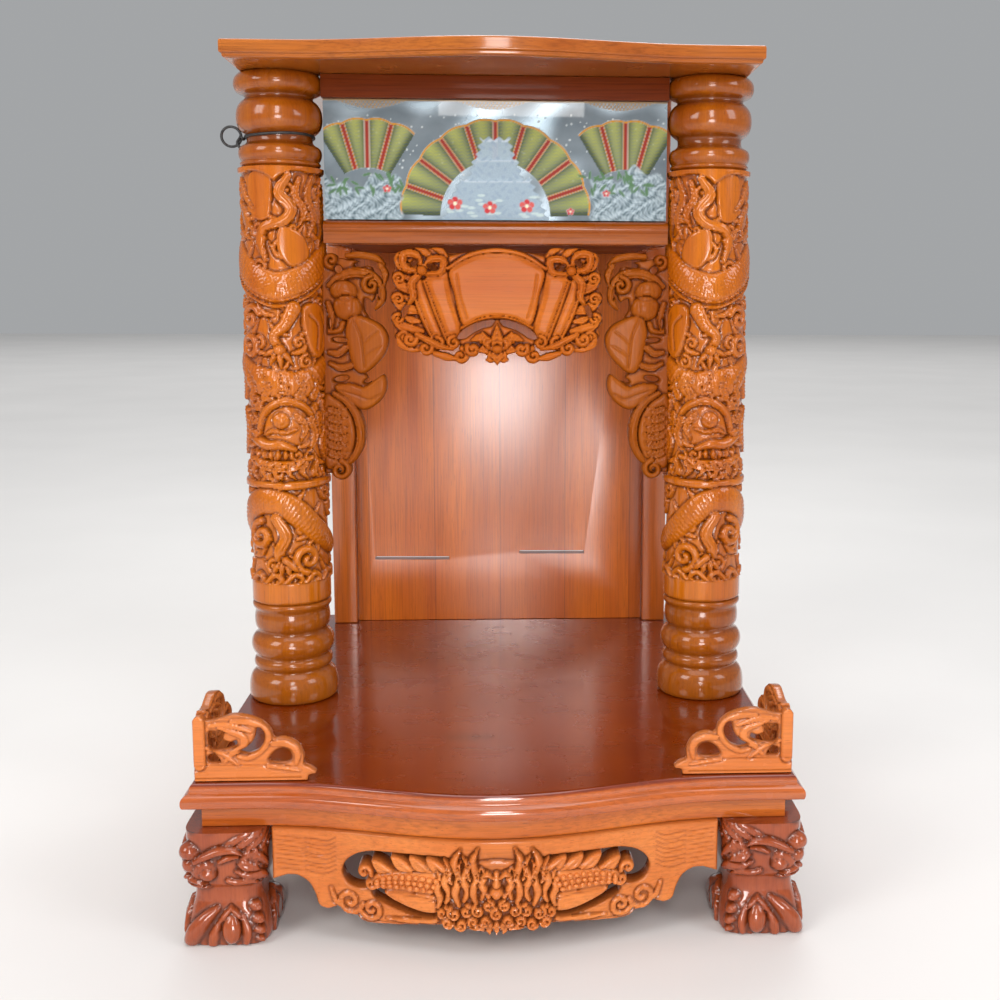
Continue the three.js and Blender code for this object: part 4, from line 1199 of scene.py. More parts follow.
def lion_mask(board):
    """The mask: a blunt nose among long wavy strands, upright ears and a beard of curls."""
    board.boss(0, 48, 43, 28, 2.6, power=0.35)
    for x, foot, head, lean, wide in (
        (43.5, 38, 68, 1, 3.2), (37, 42, 76, 1.6, 3.6), (30, 40, 84, -1.6, 3.8), (23, 44, 79, 1.6, 3.6),
        (16.5, 41, 85, -1.4, 3.6), (10, 46, 71, 1.2, 3.4),
    ):
        rise = head - foot
        strand = [(x + lean, foot), (x - lean, foot + 0.25 * rise), (x + 1.4 * lean, foot + 0.5 * rise),
                  (x - 1.2 * lean, foot + 0.76 * rise), (x + 1.8 * lean, head)]
        board.stroke(strand, [1.6, wide, wide, 0.86 * wide, 0.6], [4.6, 6.0, 6.4, 5.4, 2.6], both=True)
    for x, z, height in ((27, 70, 10), (34, 66, 8), (20, 70, 9), (12.5, 66, 8)):
        lock = [(x, z - height), (x + 2.2, z - 0.4 * height), (x, z + 0.5 * height)]
        board.stroke(lock, [0.8, 2.0, 0.6], [6.6, 7.6, 4.4], "leaf", both=True)
    board.stroke([(0, 66), (0, 60), (0, 53)], [2.4, 3.0, 4.4], [5.2, 7.4, 9.0])
    board.boss(0, 51.4, 6.0, 5.0, 9.8)
    board.boss(6.0, 49.6, 2.8, 2.6, 8.2, both=True)
    board.stroke([(3, 63), (7, 66), (12, 63.5)], [1.2, 2.4, 0.8], [5.6, 6.6, 4.6], both=True)
    for x, z, r, start, hand in (
        (41, 34, 5.0, 120, 1), (32.4, 33.4, 5.0, 60, -1), (37, 26.5, 4.2, 200, 1), (27, 25.4, 4.4, 330, -1),
        (22.8, 36, 4.8, 100, 1), (14, 36.6, 4.6, 60, -1), (17.6, 28, 4.6, 220, 1), (9, 28.4, 4.2, 320, -1),
        (6.2, 40.8, 4.4, 100, 1),
    ):
        board.curl(x, z, r, 1.25, start, hand, 1.9, 5.8, both=True)
    board.curl(0, 34.6, 4.6, 1.2, 90, 1, 1.9, 6.8)
    board.stroke([(-20, 22.8), (-8, 21.8), (0, 22.6), (8, 21.8), (20, 22.8)], [1.2, 2.0, 2.2, 2.0, 1.2], 4.6)
    for x in (-6, 0, 6):
        board.stroke([(0.8 * x, 25), (x, 21), (0.7 * x, 17.6)], [2.4, 2.6, 0.7], 5.0, "leaf")
    # The mask's region is made darker, over the tone of its hollows.
    board.darken_by = 0.36 * np.clip((1.1 - np.hypot(board.X / 45, (board.Z - 48) / 34)) / 0.2, 0, 1)


def apron_carving():
    """The pierced apron: a foliate lion mask, berried sprays, scrolls and wave-cut ends."""
    half, _, top = APRON_HIGH
    board = Carving(-half - 2, half + 2, 0.0, top + 2, sizes().grid / MM, solid=False)
    edge = [(half - a, z) for a, z in (
        (12, 52.5), (20, 52), (28, 47), (33, 38), (36, 29), (43, 26.5), (51, 29), (58, 26), (66, 23),
        (71, 19.5), (80, 18.5),
    )] + [(70, 20), (44, 22), (30, 20.5), (20, 19), (10, 17.8), (0, 17.4)]
    loop = [(half, top), (half, 48.5), *(tuple(p) for p in spline(edge, 110))]
    board.plate(loop + [(-x, z) for x, z in reversed(loop[:-1])], smooth=False)
    board.part([(36, 76), (60, 77), (84, 77), (97, 76.5), (109, 72.5), (117, 65), (118.6, 57), (115, 50),
                (109, 46.5), (102, 46.5), (97, 50), (97, 60), (86, 64), (60, 66), (36, 66)], both=True)
    board.part([(42, 31), (54, 28.5), (68, 31), (82, 35), (93, 40), (96, 44), (90, 47.5), (78, 46), (60, 44),
                (42, 44)], both=True)
    wave_cut_ends(board, half)
    sprays(board)
    lion_mask(board)
    board.inside = np.minimum(board.inside, np.minimum(top - board.Z, half - np.abs(board.X)) + 0.01)
    return board


def growing_tree(name, **sockets):
    """A geometry node tree with the given kinds of input, and the curve along the poly-lines it grows on."""
    growth = Nodes(bpy.data.node_groups.new(name, "GeometryNodeTree"))
    face = growth.tree.interface
    for key, kind in {"Geometry": "Geometry", **sockets}.items():
        face.new_socket(key.replace("_", " "), in_out="INPUT", socket_type="NodeSocket" + kind)
    face.new_socket("Geometry", in_out="OUTPUT", socket_type="NodeSocketGeometry")
    entry = growth.node("NodeGroupInput").outputs
    curve = growth.node("GeometryNodeMeshToCurve", Mesh=entry["Geometry"]).outputs["Curve"]
    return growth, entry, curve


def covered(growth, geometry, material):
    """Ends a geometry node tree with its material."""
    cover = growth.node("GeometryNodeSetMaterial", Geometry=geometry.outputs["Geometry"], Material=material)
    growth.node("NodeGroupOutput", Geometry=cover.outputs["Geometry"])
    return growth.tree


def leaf_stem_tree():
    """Geometry nodes that set small balls of random size along a stem and make them one mesh."""
    growth, entry, curve = growing_tree(
        "leaflets_on_a_stem", Leaflet_spacing="Float", Leaflet_size="Float", Seed="Int", Wood="Material")
    points = growth.node("GeometryNodeCurveToPoints", {"mode": "LENGTH"}, Curve=curve,
                         Length=entry["Leaflet spacing"])
    ball = growth.node("GeometryNodeMeshIcoSphere", Subdivisions=2, Radius=entry["Leaflet size"])
    size = growth.node("FunctionNodeRandomValue", {"data_type": "FLOAT_VECTOR"}, i0=(0.75, 0.75, 0.75),
                       i1=(1.15, 1.15, 1.15), Seed=entry["Seed"])
    berries = growth.node("GeometryNodeInstanceOnPoints", Points=points.outputs["Points"],
                          Instance=ball.outputs["Mesh"], Scale=size.outputs["Value"])
    real = growth.node("GeometryNodeRealizeInstances", Geometry=berries.outputs["Instances"])
    smooth = growth.node("GeometryNodeSetShadeSmooth", Geometry=real.outputs["Geometry"])
    return covered(growth, smooth, entry["Wood"])


def grown(name, tree, lines, values):
    """Runs a node tree on a mesh of poly-lines, in millimetres, and keeps the plain result."""
    mesh = bpy.data.meshes.new(name + "_lines")
    points, edges = [], []
    for line in lines:
        start = len(points)
        points += [tuple(float(c) * MM for c in p) for p in line]
        edges += [(start + k, start + k + 1) for k in range(len(line) - 1)]
    mesh.from_pydata(points, edges, [])
    seed = bpy.data.objects.new(name + "_lines", mesh)
    bpy.context.scene.collection.objects.link(seed)
    modifier = seed.modifiers.new("grow", "NODES")
    modifier.node_group = tree
    for item in tree.interface.items_tree:
        if item.item_type == "SOCKET" and item.in_out == "INPUT" and item.name in values:
            modifier[item.identifier] = values[item.name]
    graph = bpy.context.evaluated_depsgraph_get()
    result = bpy.data.meshes.new_from_object(seed.evaluated_get(graph))
    if not result.polygons:
        raise RuntimeError(f"{name}: the node tree made no faces")
    seed.modifiers.clear()
    bpy.data.objects.remove(seed)
    result.name = name
    piece = bpy.data.objects.new(name, result)
    bpy.context.scene.collection.objects.link(piece)
    return piece


def apron_berries(face):
    """Three staggered rows of berries along the spray on each side of the mask."""
    lines = []
    for side in (-1, 1):
        for lift, shift in ((0.5, 0.0), (4.8, 2.4), (9.2, 0.6)):
            stem = [(45 + shift, 50 + lift), (62, 51.5 + lift), (80, 52 + 0.8 * lift), (91, 51 + 0.5 * lift)]
            lines.append([(side * x, face - 3.4 - bow_at(x), z) for x, z in spline(stem, 24)])
    return grown("apron_berries", leaf_stem_tree(), lines, {
        "Leaflet spacing": BERRY_SPACING * MM, "Leaflet size": BERRY_RADIUS * MM, "Seed": 5,
        "Wood": wood("carved")})


class ALTAR_OT_apron(bpy.types.Operator):
    """Builds the bowed, pierced front apron with its lion mask and sprays"""

    bl_idname = "altar.apron"
    bl_label = "Front Apron"

    def execute(self, context):
        board = apron_carving()
        board.height *= sizes().depth
        face = DECK_FRONT + APRON_SETBACK
        # Full painted shade on the apron's back and in its openings, for the shadow under the deck.
        piece = carved_board("front_apron_carved", board, face, face + APRON_THICK, wood("carved"),
                             lambda x, y, z: (x, y - bow_at(x), z), inner=1.0)
        finish_piece(piece, "carved_wood", "front_apron")
        finish_piece(apron_berries(face), "carved_wood")
        return {"FINISHED"}


# --- Pierced valance ---


def below(points):
    """Points given as x and a depth below the valance's top."""
    return [(x, VALANCE_TOP - d) for x, d in points]


def leaves_at_the_ends(board):
    """Broad leaves at the ends, each rolled over at its tip, and small ones at the corners."""
    for x, d in ((86, 12), (88.6, 30), (89.6, 48), (89.6, 66), (85, 82)):
        board.stroke(below([(68, d + 11), (77, d + 9.4), (86, d + 6), (x + 4, d - 1)]), [2.6, 4.8, 4.4, 1.6],
                     [3.6, 5.6, 5.4, 4.0], "ribbon", both=True, undercut=1.0)
        board.stroke(below([(70, d + 2), (77, d + 1), (x - 5, d - 3)]), [2.0, 3.4, 1.0], [3.6, 4.8, 3.2],
                     "leaf",
                     both=True, undercut=1.0)
        board.curl(x - 1.5, VALANCE_TOP - d, 4.9, 1.25, 10, 1, 1.9, 5.6, both=True)
    for path in (((46, 10), (50, 5.6), (57, 3.2)), ((60, 10), (65, 6), (72, 3.2)),
                 ((60, 84), (68, 89), (77, 91))):
        board.stroke(below(path), [2.4, 3.2, 0.9], [3.4, 4.4, 2.6], "leaf", both=True, undercut=1.0)


def unrolled_scroll(board):
    """A wide plain fall with a broad fold and a narrow one to each side, and rolled borders."""
    half = [(24, 9), (44, 20), (62, 30), (78, 36), (72, 56), (64, 76), (54, 88), (42, 88), (34, 78), (20, 68)]
    board.plate(below([(0, 5), *half, (0, 64.5), *flipped(half[::-1])]), 3.0, 0.6, 3.0)
    for outer, inner, lift in (
        (((77, 36), (69, 60), (58, 84)), ((66, 32), (57, 58), (46, 86)), 2.2),
        (((65, 32), (56, 58), (45, 86)), ((46, 22), (41, 46), (33, 75)), 3.4),
    ):
        board.plate(below([*outer, *reversed(inner)]), lift, 2.4, 7.0, both=True, undercut=1.2)
        board.stroke(below(outer), [1.4, 1.6, 1.4], lift + 3.0, both=True)
    half = [(22, 10), (42, 22), (38, 44), (30.5, 71), (16, 66)]
    board.plate(below([(0, 6), *half, (0, 64), *flipped(half[::-1])]), 3.4, 3.4, 2.6, undercut=1.6)
    board.groove(below([(36, 26), (33, 47), (27, 65)]), 0.8, 0.9, both=True)
    board.stroke(below([(-44, 21), (-24, 9), (0, 5), (24, 9), (44, 21)]), [1.6, 2.0, 2.2, 2.0, 1.6], 7.4,
                 "flat")
    board.groove(below([(-38, 21), (-22, 13), (0, 9.4), (22, 13), (38, 21)]), 0.6, 0.8)
    board.stroke(below([(-32, 74), (-16, 66.5), (0, 64), (16, 66.5), (32, 74)]), [1.4], 7.0)
    for x, d, hand in ((54, 88, 1), (39, 87, -1)):
        board.curl(x, VALANCE_TOP - d, 5.8, 1.2, 90, hand, 2.3, 6.4, both=True)


def bows_and_lotus(board):
    """Ribbon bows at the upper corners, foot scrolls with a trailing ribbon, and the lotus."""
    board.strokes(
        "ribbon",
        (below([(66, 22), (58, 13), (48, 14), (50, 24), (63, 26)]), [2, 3.4, 3.4, 3.2, 2],
         [7.5, 8.4, 8.4, 7]),
        (below([(67, 20), (72, 9), (83, 9), (82, 20), (70, 24)]), [2, 3.4, 3.6, 3.2, 2], [7.5, 8.4, 8.4, 7]),
        (below([(68, 25), (76, 34), (75, 46), (80, 54)]), [2.8, 3.8, 3.4, 1], [7.5, 8.4, 8.4, 7]), both=True)
    board.boss(67, VALANCE_TOP - 23, 4.6, 4.6, 10, both=True)
    for x, d, r, start, hand in (
        (64, 92, 6.2, 120, 1), (33, 99, 6.6, 100, 1), (22, 93, 5.6, 30, -1), (78, 84, 5.6, 180, 1),
    ):
        board.curl(x, VALANCE_TOP - d, r, 1.2, start, hand, 2.7, 6.4, both=True)
    board.strokes(
        "ribbon",
        (below([(72, 80), (62, 85), (52, 90), (40, 93)]), [2.4, 3.2, 3.2, 1.6], [7, 8, 8, 6]),
        (below([(56, 97), (46, 100), (36, 102)]), [2.6, 3.6, 1.6], 6.0), both=True)
    petals = [(below([(2, 92), (x * 0.6, d - 2), (x, d)]), [3.2, 5.0, 0.8], [6, 7, 4.6])
              for x, d in ((23, 85), (18, 95), (10, 103))]
    board.strokes("leaf", *petals, (below([(0, 94), (9, 86), (13, 78)]), [4, 5.0, 0.8], [7, 8, 5.4]), both=True)
    board.strokes(
        "leaf",
        (below([(0, 95), (0, 84), (0, 71)]), [5, 6.0, 0.8], [8, 9, 5.6]),
        (below([(0, 95), (0, 101), (0, 107)]), [5, 5.2, 0.8], [7, 7, 4.6]),
    )
    board.boss(0, VALANCE_TOP - 93, 5, 4, 9.0)


def valance_carving():
    """The pleated scroll in the middle of the valance, with bows, leaves and a lotus."""
    top = VALANCE_TOP
    board = Carving(-101, 101, top - 110, top + 1, VALANCE_GRID * sizes().grid / MM, solid=False)
    edge = [
        (26, 6), (45, 10), (50, 4), (58, 2.4), (66, 5), (74, 2.6), (83, 4), (90, 8), (92, 14), (90.5, 20),
        (94, 26), (93.6, 33), (91, 38), (95, 44), (95, 51), (91.6, 56), (95, 62), (95.4, 70), (92, 75),
        (93, 81), (88, 87), (80, 87), (72, 92), (60, 89), (44, 85), (24, 94),
    ]
    board.plate(below([(0, 3), *edge, (0, 98), *flipped(edge[::-1])]))
    leaves_at_the_ends(board)
    unrolled_scroll(board)
    bows_and_lotus(board)
    for x, d, half_x, half_z, turn in ((73.5, 16, 4.4, 2.6, -35), (58, 20, 5.2, 2.4, 30),
                                       (83, 59, 2.6, 6.4, 25)):
        board.pierce_oval(x, top - d, half_x, half_z, turn, both=True)
    board.pierce(below([(3, 66.5), (14, 68), (25, 72), (34, 79), (36, 84), (29, 83.5), (21, 78), (13, 74.5),
                        (5, 72)]), both=True)
    board.inside = np.minimum(board.inside, top + 0.4 - board.Z)
    return board


def ribbon_and_gourd(board):
    """A curled ribbon over a gourd."""
    board.stroke(below([(149, 36), (140, 29), (128, 25), (114, 27), (105, 37), (104, 50), (110, 58)]),
                 [3, 4.2, 4.6, 4.6, 4.4, 3.4, 1.2], [5, 6.5, 7, 7, 6.5, 5], "ribbon")
    board.curl(112, VALANCE_TOP - 36, 8, 1.2, 90, -1, 2.6, 6.0)
    board.curl(147, VALANCE_TOP - 14, 6.5, 1.2, 250, 1, 2.4, 5.4)
    board.stroke(below([(133, 10), (121, 9.5), (108, 12), (101, 17)]), [2.6, 3.2, 3.2, 1.4], 5.6, "ribbon")
    board.stroke(below([(104, 18), (100, 26), (101, 36)]), [2.4, 3, 1], 5.4, "leaf")
    board.boss(137, VALANCE_TOP - 41, 12, 9.5, 6.5, 10)
    board.boss(134, VALANCE_TOP - 56, 12.5, 11.5, 7.0, 20)
    for line, width, depth in (
        ([(126, 47), (137, 49), (147, 46)], 1.1, 1.4), ([(140, 34), (143, 44), (141, 60)], 0.8, 0.7),
        ([(131, 34), (128, 44), (129, 60)], 0.8, 0.7),
    ):
        board.groove(below(line), width, depth)
    board.stroke(below([(151, 52), (148, 64), (150, 78)]), [2.4, 3, 2], 4.6, "ribbon")


def broad_leaves(board):
    """Broad smooth leaves, with their stems to the column."""
    leaf = [(124, 63), (112, 67), (103, 73), (98, 83), (100, 95), (108, 106), (120, 115), (129, 110),
            (133, 96), (136, 80), (133, 66)]
    board.plate(below(leaf), 5.2, 1.0, 5.0)
    for vein, width, depth in (
        ([(128, 66), (122, 82), (120, 98), (119, 110)], 0.9, 1.2),
        ([(106, 76), (114, 82), (120, 88)], 0.7, 0.8),
        ([(104, 90), (112, 94), (119, 99)], 0.7, 0.8),
    ):
        board.groove(below(vein), width, depth)
    board.stroke(below([(138, 70), (141, 76), (150, 78)]), [2.6, 2.6, 1.4], 4.6)
    board.strokes(
        "ribbon",
        (below([(136, 92), (143, 97), (151, 96)]), [3, 3.4, 2], 5.0),
        (below([(132, 108), (141, 110), (150, 106)]), [3, 3.2, 2], 5.0),
    )
    leaf = [(146, 126), (132, 124), (120, 127), (110, 120), (103, 116), (100, 122), (101, 132), (108, 142),
            (120, 148), (132, 143), (142, 134)]
    board.plate(below(leaf), 5.0, 1.0, 4.0)
    board.groove(below([(142, 130), (128, 134), (116, 138), (106, 134)]), 0.9, 1.2)


def hanging_pod(board, outer):
    """A ribbed pod with a curved rim, ending in a curl."""
    pod = [(outer, 138), (144, 138), (136, 146), (130, 158), (128, 172), (131, 186), (138, 196), (outer, 198)]
    board.plate(below(pod), 3.6, 0.8, 4.0)
    for d in range(148, 196, 8):
        board.stroke(below([(151, d), (143, d + 2), (136, d - 2)]), [3.6, 3.4, 1.0], 5.0, "leaf")
    board.stroke(below([(147, 133), (136, 140), (128, 151), (124, 165), (125, 180), (131, 192), (138, 198)]),
                 [2.4, 3.4, 3.8, 4.0, 3.8, 3.2, 2.0], [5, 6.5, 7.0, 7.0, 6.5, 5], "ribbon")
    board.curl(143, VALANCE_TOP - 203, 8.5, 1.35, 100, 1, 2.9, 5.8)


def bracket_carving(outer):
    """The right bracket of the valance, out to the column: ribbon, gourd, broad leaves and hanging pod."""
    top = VALANCE_TOP
    board = Carving(94, outer + 1, top - 214, top + 1, VALANCE_GRID * sizes().grid / MM, solid=False)
    inner = [(140, 12), (126, 14), (112, 20), (106, 34), (110, 48), (118, 60), (112, 72), (104, 84),
             (110, 104), (120, 114), (112, 126), (122, 140), (130, 150), (130, 170), (136, 190), (140, 206)]
    board.plate(below([(outer, 12), *inner, (outer, 206)]), smooth=False)
    ribbon_and_gourd(board)
    broad_leaves(board)
    hanging_pod(board, outer)
    for x, d, half_x, half_z, turn in (
        (143.5, 203, 1.8, 1.8, 0), (142, 22, 4.0, 3.4, 30), (120, 17, 8.0, 2.4, -10),
    ):
        board.pierce_oval(x, top - d, half_x, half_z, turn)
    board.pierce(below([(119, 48), (113.5, 50), (111, 56), (107.5, 63), (110, 66), (115, 63.5), (119.5, 58)]))
    for x, d, half_x, half_z, turn in (
        (105.6, 43, 1.5, 6.0, -8), (141.5, 85, 7.0, 2.2, 4), (141, 120, 7.0, 2.6, -12),
        (116, 121, 5.4, 1.8, -30), (150, 70, 1.6, 5.0, 0),
    ):
        board.pierce_oval(x, top - d, half_x, half_z, turn)
    board.inside = np.minimum(board.inside, outer - board.X)
    return board


class ALTAR_OT_valance(bpy.types.Operator):
    """Builds the pierced valance under the lintel: the pleated scroll and its two brackets"""

    bl_idname = "altar.valance"
    bl_label = "Pierced Valance"

    def execute(self, context):
        rear = box_mm("valance_centre")[1][1]
        face = rear - VALANCE_THICK
        centre = valance_carving()
        centre.height *= 0.62 * sizes().depth
        finish_piece(carved_board("valance_centre_carved", centre, face, rear, wood("valance")),
                     "carved_wood", "valance_centre")
        board = bracket_carving(box_mm("valance_bracket_right")[1][0] + BRACKET_TENON)
        board.height *= 0.66 * sizes().depth
        for name, side in SIDES:
            piece = carved_board(f"valance_bracket_{name}_carved", board, face, rear, wood("bracket"),
                                 lambda x, y, z, side=side: (side * x, y, z))
            finish_piece(piece, "carved_wood", f"valance_bracket_{name}")
        return {"FINISHED"}


# --- Corner galleries ---


def gallery_carving(length, peak):
    """A low pierced fence of scrolls, from its corner post at x = 0 down to a tail."""
    board = Carving(-1, length + 1, -1, peak + 3, GALLERY_GRID * sizes().grid / MM, solid=False)
    k, h = length / 93.0, peak / 54.0

    def at(points):
        return [(x * k, z * h) for x, z in points]

    crest = [(0, 50), (12, 48.6), (22, 51.2), (31, 53.6), (42, 52), (51, 48.5), (57.5, 42), (61, 34.4),
             (67, 34.6), (74, 33), (80, 28), (83.4, 20), (83, 13), (88, 10.4), (92.6, 6), (87, 4.2), (86, 0)]
    board.plate(at([(0, 0)]) + [tuple(p) for p in spline(at(crest[::-1]), 90)], smooth=False)
    # Raised scrolls that follow the openings.
    for path, width in (
        ([(30, 48), (42, 48), (52, 44), (57, 36), (52, 26), (42, 19), (34, 20)], 2.6),
        ([(60, 30), (68, 30.5), (75, 28), (79, 22), (78, 14)], 2.6),
        ([(20, 44), (30, 40), (38, 36), (38, 28), (30, 23), (24, 16)], 2.6),
        ([(13, 45), (24, 46), (36, 43), (44, 40)], 2.0),
        ([(10, 27), (20, 24), (28, 18), (34, 13)], 1.8),
        ([(56, 12), (66, 10.8), (80, 8)], 1.6),
    ):
        board.stroke(at(path), [0.7 * width, width, width, 0.5 * width], 1.0, "ribbon", undercut=0.4)
    board.stroke([(4.4, 13), (4.4, 30), (4.4, 47.5)], [4.2], 1.0, "flat", undercut=1.0)
    board.groove([(1, 12.4), (0.4 * length, 12.6), (0.78 * length, 11.6)], 0.6, 0.7)
    board.groove([(1, 2.4), (length / 2, 2.4), (length - 12, 2.4)], 0.6, 0.8)
    for opening in (
        [(11.4, 39.5), (17, 40.4), (23, 39.6), (22.6, 34), (28, 31.5), (32.6, 33), (32.8, 29), (27, 26.4),
         (19, 25), (12, 26.5)],
        [(11, 20.6), (15.6, 22.2), (19, 18.6), (20, 15), (15, 14.8), (11, 15.6)],
        [(34.6, 24.4), (41, 28), (46, 34), (48, 42), (51.6, 42.6), (54.4, 37), (53, 30.4), (47.6, 24),
         (40.6, 22.2)],
        [(56.6, 16), (60, 22.5), (66, 26), (72, 24.6), (74.6, 19.6), (73, 15.2), (64.6, 14.2)],
    ):
        board.pierce(at(opening))
    board.inside = np.minimum(board.inside, np.minimum(board.X, board.Z))
    return board


class ALTAR_OT_galleries(bpy.types.Operator):
    """Builds the four pierced gallery fences at the deck's front corners"""

    bl_idname = "altar.galleries"
    bl_label = "Corner Galleries"

    def execute(self, context):
        for name, side in SIDES:
            low, high = box_mm(f"gallery_front_{name}")
            corner = low[0] if side < 0 else high[0]
            self.fence(f"gallery_front_{name}", high[0] - low[0], high[2] - low[2], low[1] + 1.2,
                       high[1] - 1.2,
                       lambda x, y, z, c=corner, s=side, b=low[2]: (c - s * x, y, z + b))
            low, high = box_mm(f"gallery_side_{name}")
            middle = (low[0] + high[0]) / 2
            self.fence(f"gallery_side_{name}", high[1] - low[1], high[2] - low[2], -3.3, 3.3,
                       lambda x, y, z, m=middle, s=side, a=low[1], b=low[2]: (m - s * y, a + x, z + b))
        return {"FINISHED"}

    def fence(self, node, length, peak, face, rear, put):
        """One fence, carved on both faces and put in its place."""
        board = gallery_carving(length, peak)
        piece = carved_board(f"{node}_carved", board, face, rear, wood("carved"), put, 0.8, True)
        finish_piece(piece, "carved_wood", node)


# --- Painted glass ---


class Painting:
    """Colour and cover painted behind the glass, on a grid in millimetres from its middle."""

    def __init__(self, x, z):
        self.x, self.z = x, z
        self.rgb = np.zeros(x.shape + (3,))
        self.cover = np.zeros(x.shape)

    def dab(self, mask, colour, cover=1.0):
        """Paints where the mask is, with soft edges."""
        m = np.clip(mask, 0, 1)
        amount = (m * cover)[..., None]
        self.rgb = self.rgb * (1 - amount) + np.asarray(colour) * amount
        under = self.cover * (1 - m) if cover >= 1 else self.cover
        self.cover = np.maximum(under, m * cover)

    def fan(self, x, z, inner, outer, first, last, blades):
        """An open folding fan: green and gold blades, red ribs and a gilt rim. Angles in degrees."""
        r = np.hypot(self.x - x, self.z - z)
        t = (np.degrees(np.arctan2(self.z - z, self.x - x)) - first) / (last - first)
        phase = t * blades
        fold = phase - np.floor(phase)
        rim = outer + 1.8 * np.abs(np.sin(np.pi * phase))
        body = soft(r - inner, 0.8) * soft(rim - r, 0.8) * (t > 0) * (t < 1)
        waves = 0.5 + 0.5 * np.sin(2.2 * self.z + 0.8 * self.x + 2 * np.sin(0.9 * self.x))
        reach = np.clip((r - inner) / (outer - inner), 0, 1)
        mix = np.clip(np.sin(np.pi * fold) ** 2 * (0.35 + 0.65 * reach) + 0.25 * (waves - 0.5), 0, 1)[...,
                                                                                                      None]
        colour = np.array([0.012, 0.030, 0.012]) * (1 - mix) + np.array([0.36, 0.39, 0.020]) * mix
        pitch = np.abs(np.radians(last - first)) / blades * r
        side = np.minimum(fold, 1 - fold) * pitch
        clear = 1 - 0.12 * np.clip((side - 2.6) / 3.0, 0, 1)
        m = (body * clear)[..., None]
        self.rgb = self.rgb * (1 - m) + colour * m
        self.cover = np.maximum(self.cover * (1 - body), body * clear * (0.88 + 0.12 * waves))
        ribs = body * (phase > 0.5) * (phase < blades - 0.5)
        self.dab(ribs * soft(2.5 - side, 0.8) * (r < rim - 1.6), (0.50, 0.22, 0.008))
        self.dab(ribs * soft(1.6 - side, 0.7) * (r < rim - 1.0), (0.27, 0.018, 0.008))
        self.dab(body * soft(r - rim + 1.7, 0.7), (0.55, 0.24, 0.010))

    def foliage(self, mask, seed):
        """Frosted blue-white leaves."""
        x, z = self.x, self.z
        bend = x + 2.2 * np.sin(0.31 * z + 0.9 * np.sin(0.17 * x)) + seed
        lift = z + 2.4 * np.sin(0.23 * x + 1.1 * np.sin(0.29 * z))
        tufts = np.sin(0.8 * bend) * np.sin(0.9 * lift) + 0.6 * np.sin(0.4 * bend - 0.6 * lift)
        tufts += 0.7 * np.sin(1.7 * bend + 1.1 * lift) * np.sin(1.3 * lift - 0.5 * bend)
        shade = np.clip(0.5 + 0.34 * tufts, 0, 1)[..., None]
        colour = np.array([0.06, 0.11, 0.13]) * (1 - shade) + np.array([0.50, 0.62, 0.68]) * shade
        m = np.clip(mask, 0, 1)[..., None] * 0.9
        self.rgb = self.rgb * (1 - m) + colour * m
        self.cover = np.maximum(self.cover, np.clip(mask, 0, 1) * 0.86)


def soft(value, width=0.6):
    """A mask that rises from 0 to 1 over a width, half way at zero."""
    return np.clip(0.5 + value / width, 0, 1)


def mist_and_stars(art, x, z, rng):
    """Dark mist on the silver, with small pale flecks."""
    cloud = 0.5 + 0.25 * np.sin(x / 23 + 1.2) * np.sin(z / 17 + 0.4) + 0.25 * np.sin(x / 9 - z / 14)
    dark = np.clip(cloud + 0.6 * soft(np.abs(x) - 62, 34.0) * soft(94 - z, 10.0), 0, 1)
    art.dab(dark, (0.05, 0.07, 0.085), 0.62)
    for _ in range(170):
        cx, cz = rng.uniform(-150, 150), rng.uniform(34, 92)
        art.dab(soft(rng.uniform(0.5, 1.0) - np.hypot(x - cx, z - cz), 0.6), (0.62, 0.68, 0.68), 0.85)


def leaves_at_the_foot(art, x, z, rng):
    """Frosted leaves at both ends of the pane's foot, with thin green ones over them."""
    edge = 33 + 6 * np.sin(x / 9.0) + 4 * np.sin(x / 3.7) + np.where(x > 40, 7, 0)
    art.foliage(soft(edge - z, 2.5) * soft(np.abs(x) - 85 + 2 * np.sin(0.4 * z), 3.0), 0.4)
    for _ in range(60):
        side = rng.choice([-1, 1])
        cx, cz = side * rng.uniform(74, 148), rng.uniform(24, 42)
        turn = rng.uniform(0, math.pi)
        u = (x - cx) * math.cos(turn) + (z - cz) * math.sin(turn)
        v = (z - cz) * math.cos(turn) - (x - cx) * math.sin(turn)
        art.dab(soft(1 - np.hypot(u / 4.2, v / 1.3), 0.5), (0.05, 0.15, 0.035), 0.9)


def terraced_rock(art, x, z, rng):
    """A terraced rock in the middle, pale against the arch of the large fan, with moss at its foot."""
    for foot, head, wide, narrow in ((0, 36, 47, 31), (34, 54, 25, 18), (52, 71, 17, 12)):
        rise = np.clip((z - foot) / (head - foot), 0, 1)
        half = wide + (narrow - wide) * rise + 1.6 * np.sin(0.9 * z)
        body = np.minimum(np.minimum(half - np.abs(x + 1), z - foot), head + 1.5 * np.sin(0.7 * x) - z)
        art.dab(soft(body, 1.6), (0.32, 0.42, 0.50), 0.92)
        art.dab(soft(1.4 - np.abs(head - 1.5 - z), 1.0) * soft(body, 1.0), (0.46, 0.55, 0.62))
        veins = np.sin(0.55 * x + foot + 1.5 * np.sin(0.3 * z)) * np.sin(0.6 * z + 1.2 * np.sin(0.4 * x))
        art.dab(soft(body, 1.0) * soft(veins - 0.5, 0.4), (0.25, 0.34, 0.43), 0.8)
    for _ in range(26):
        cx, cz = rng.uniform(-46, 46), rng.uniform(3, 22)
        art.dab(soft(1 - np.hypot((x - cx) / 3.4, (z - cz) / 1.2), 0.5), (0.50, 0.62, 0.60), 0.8)


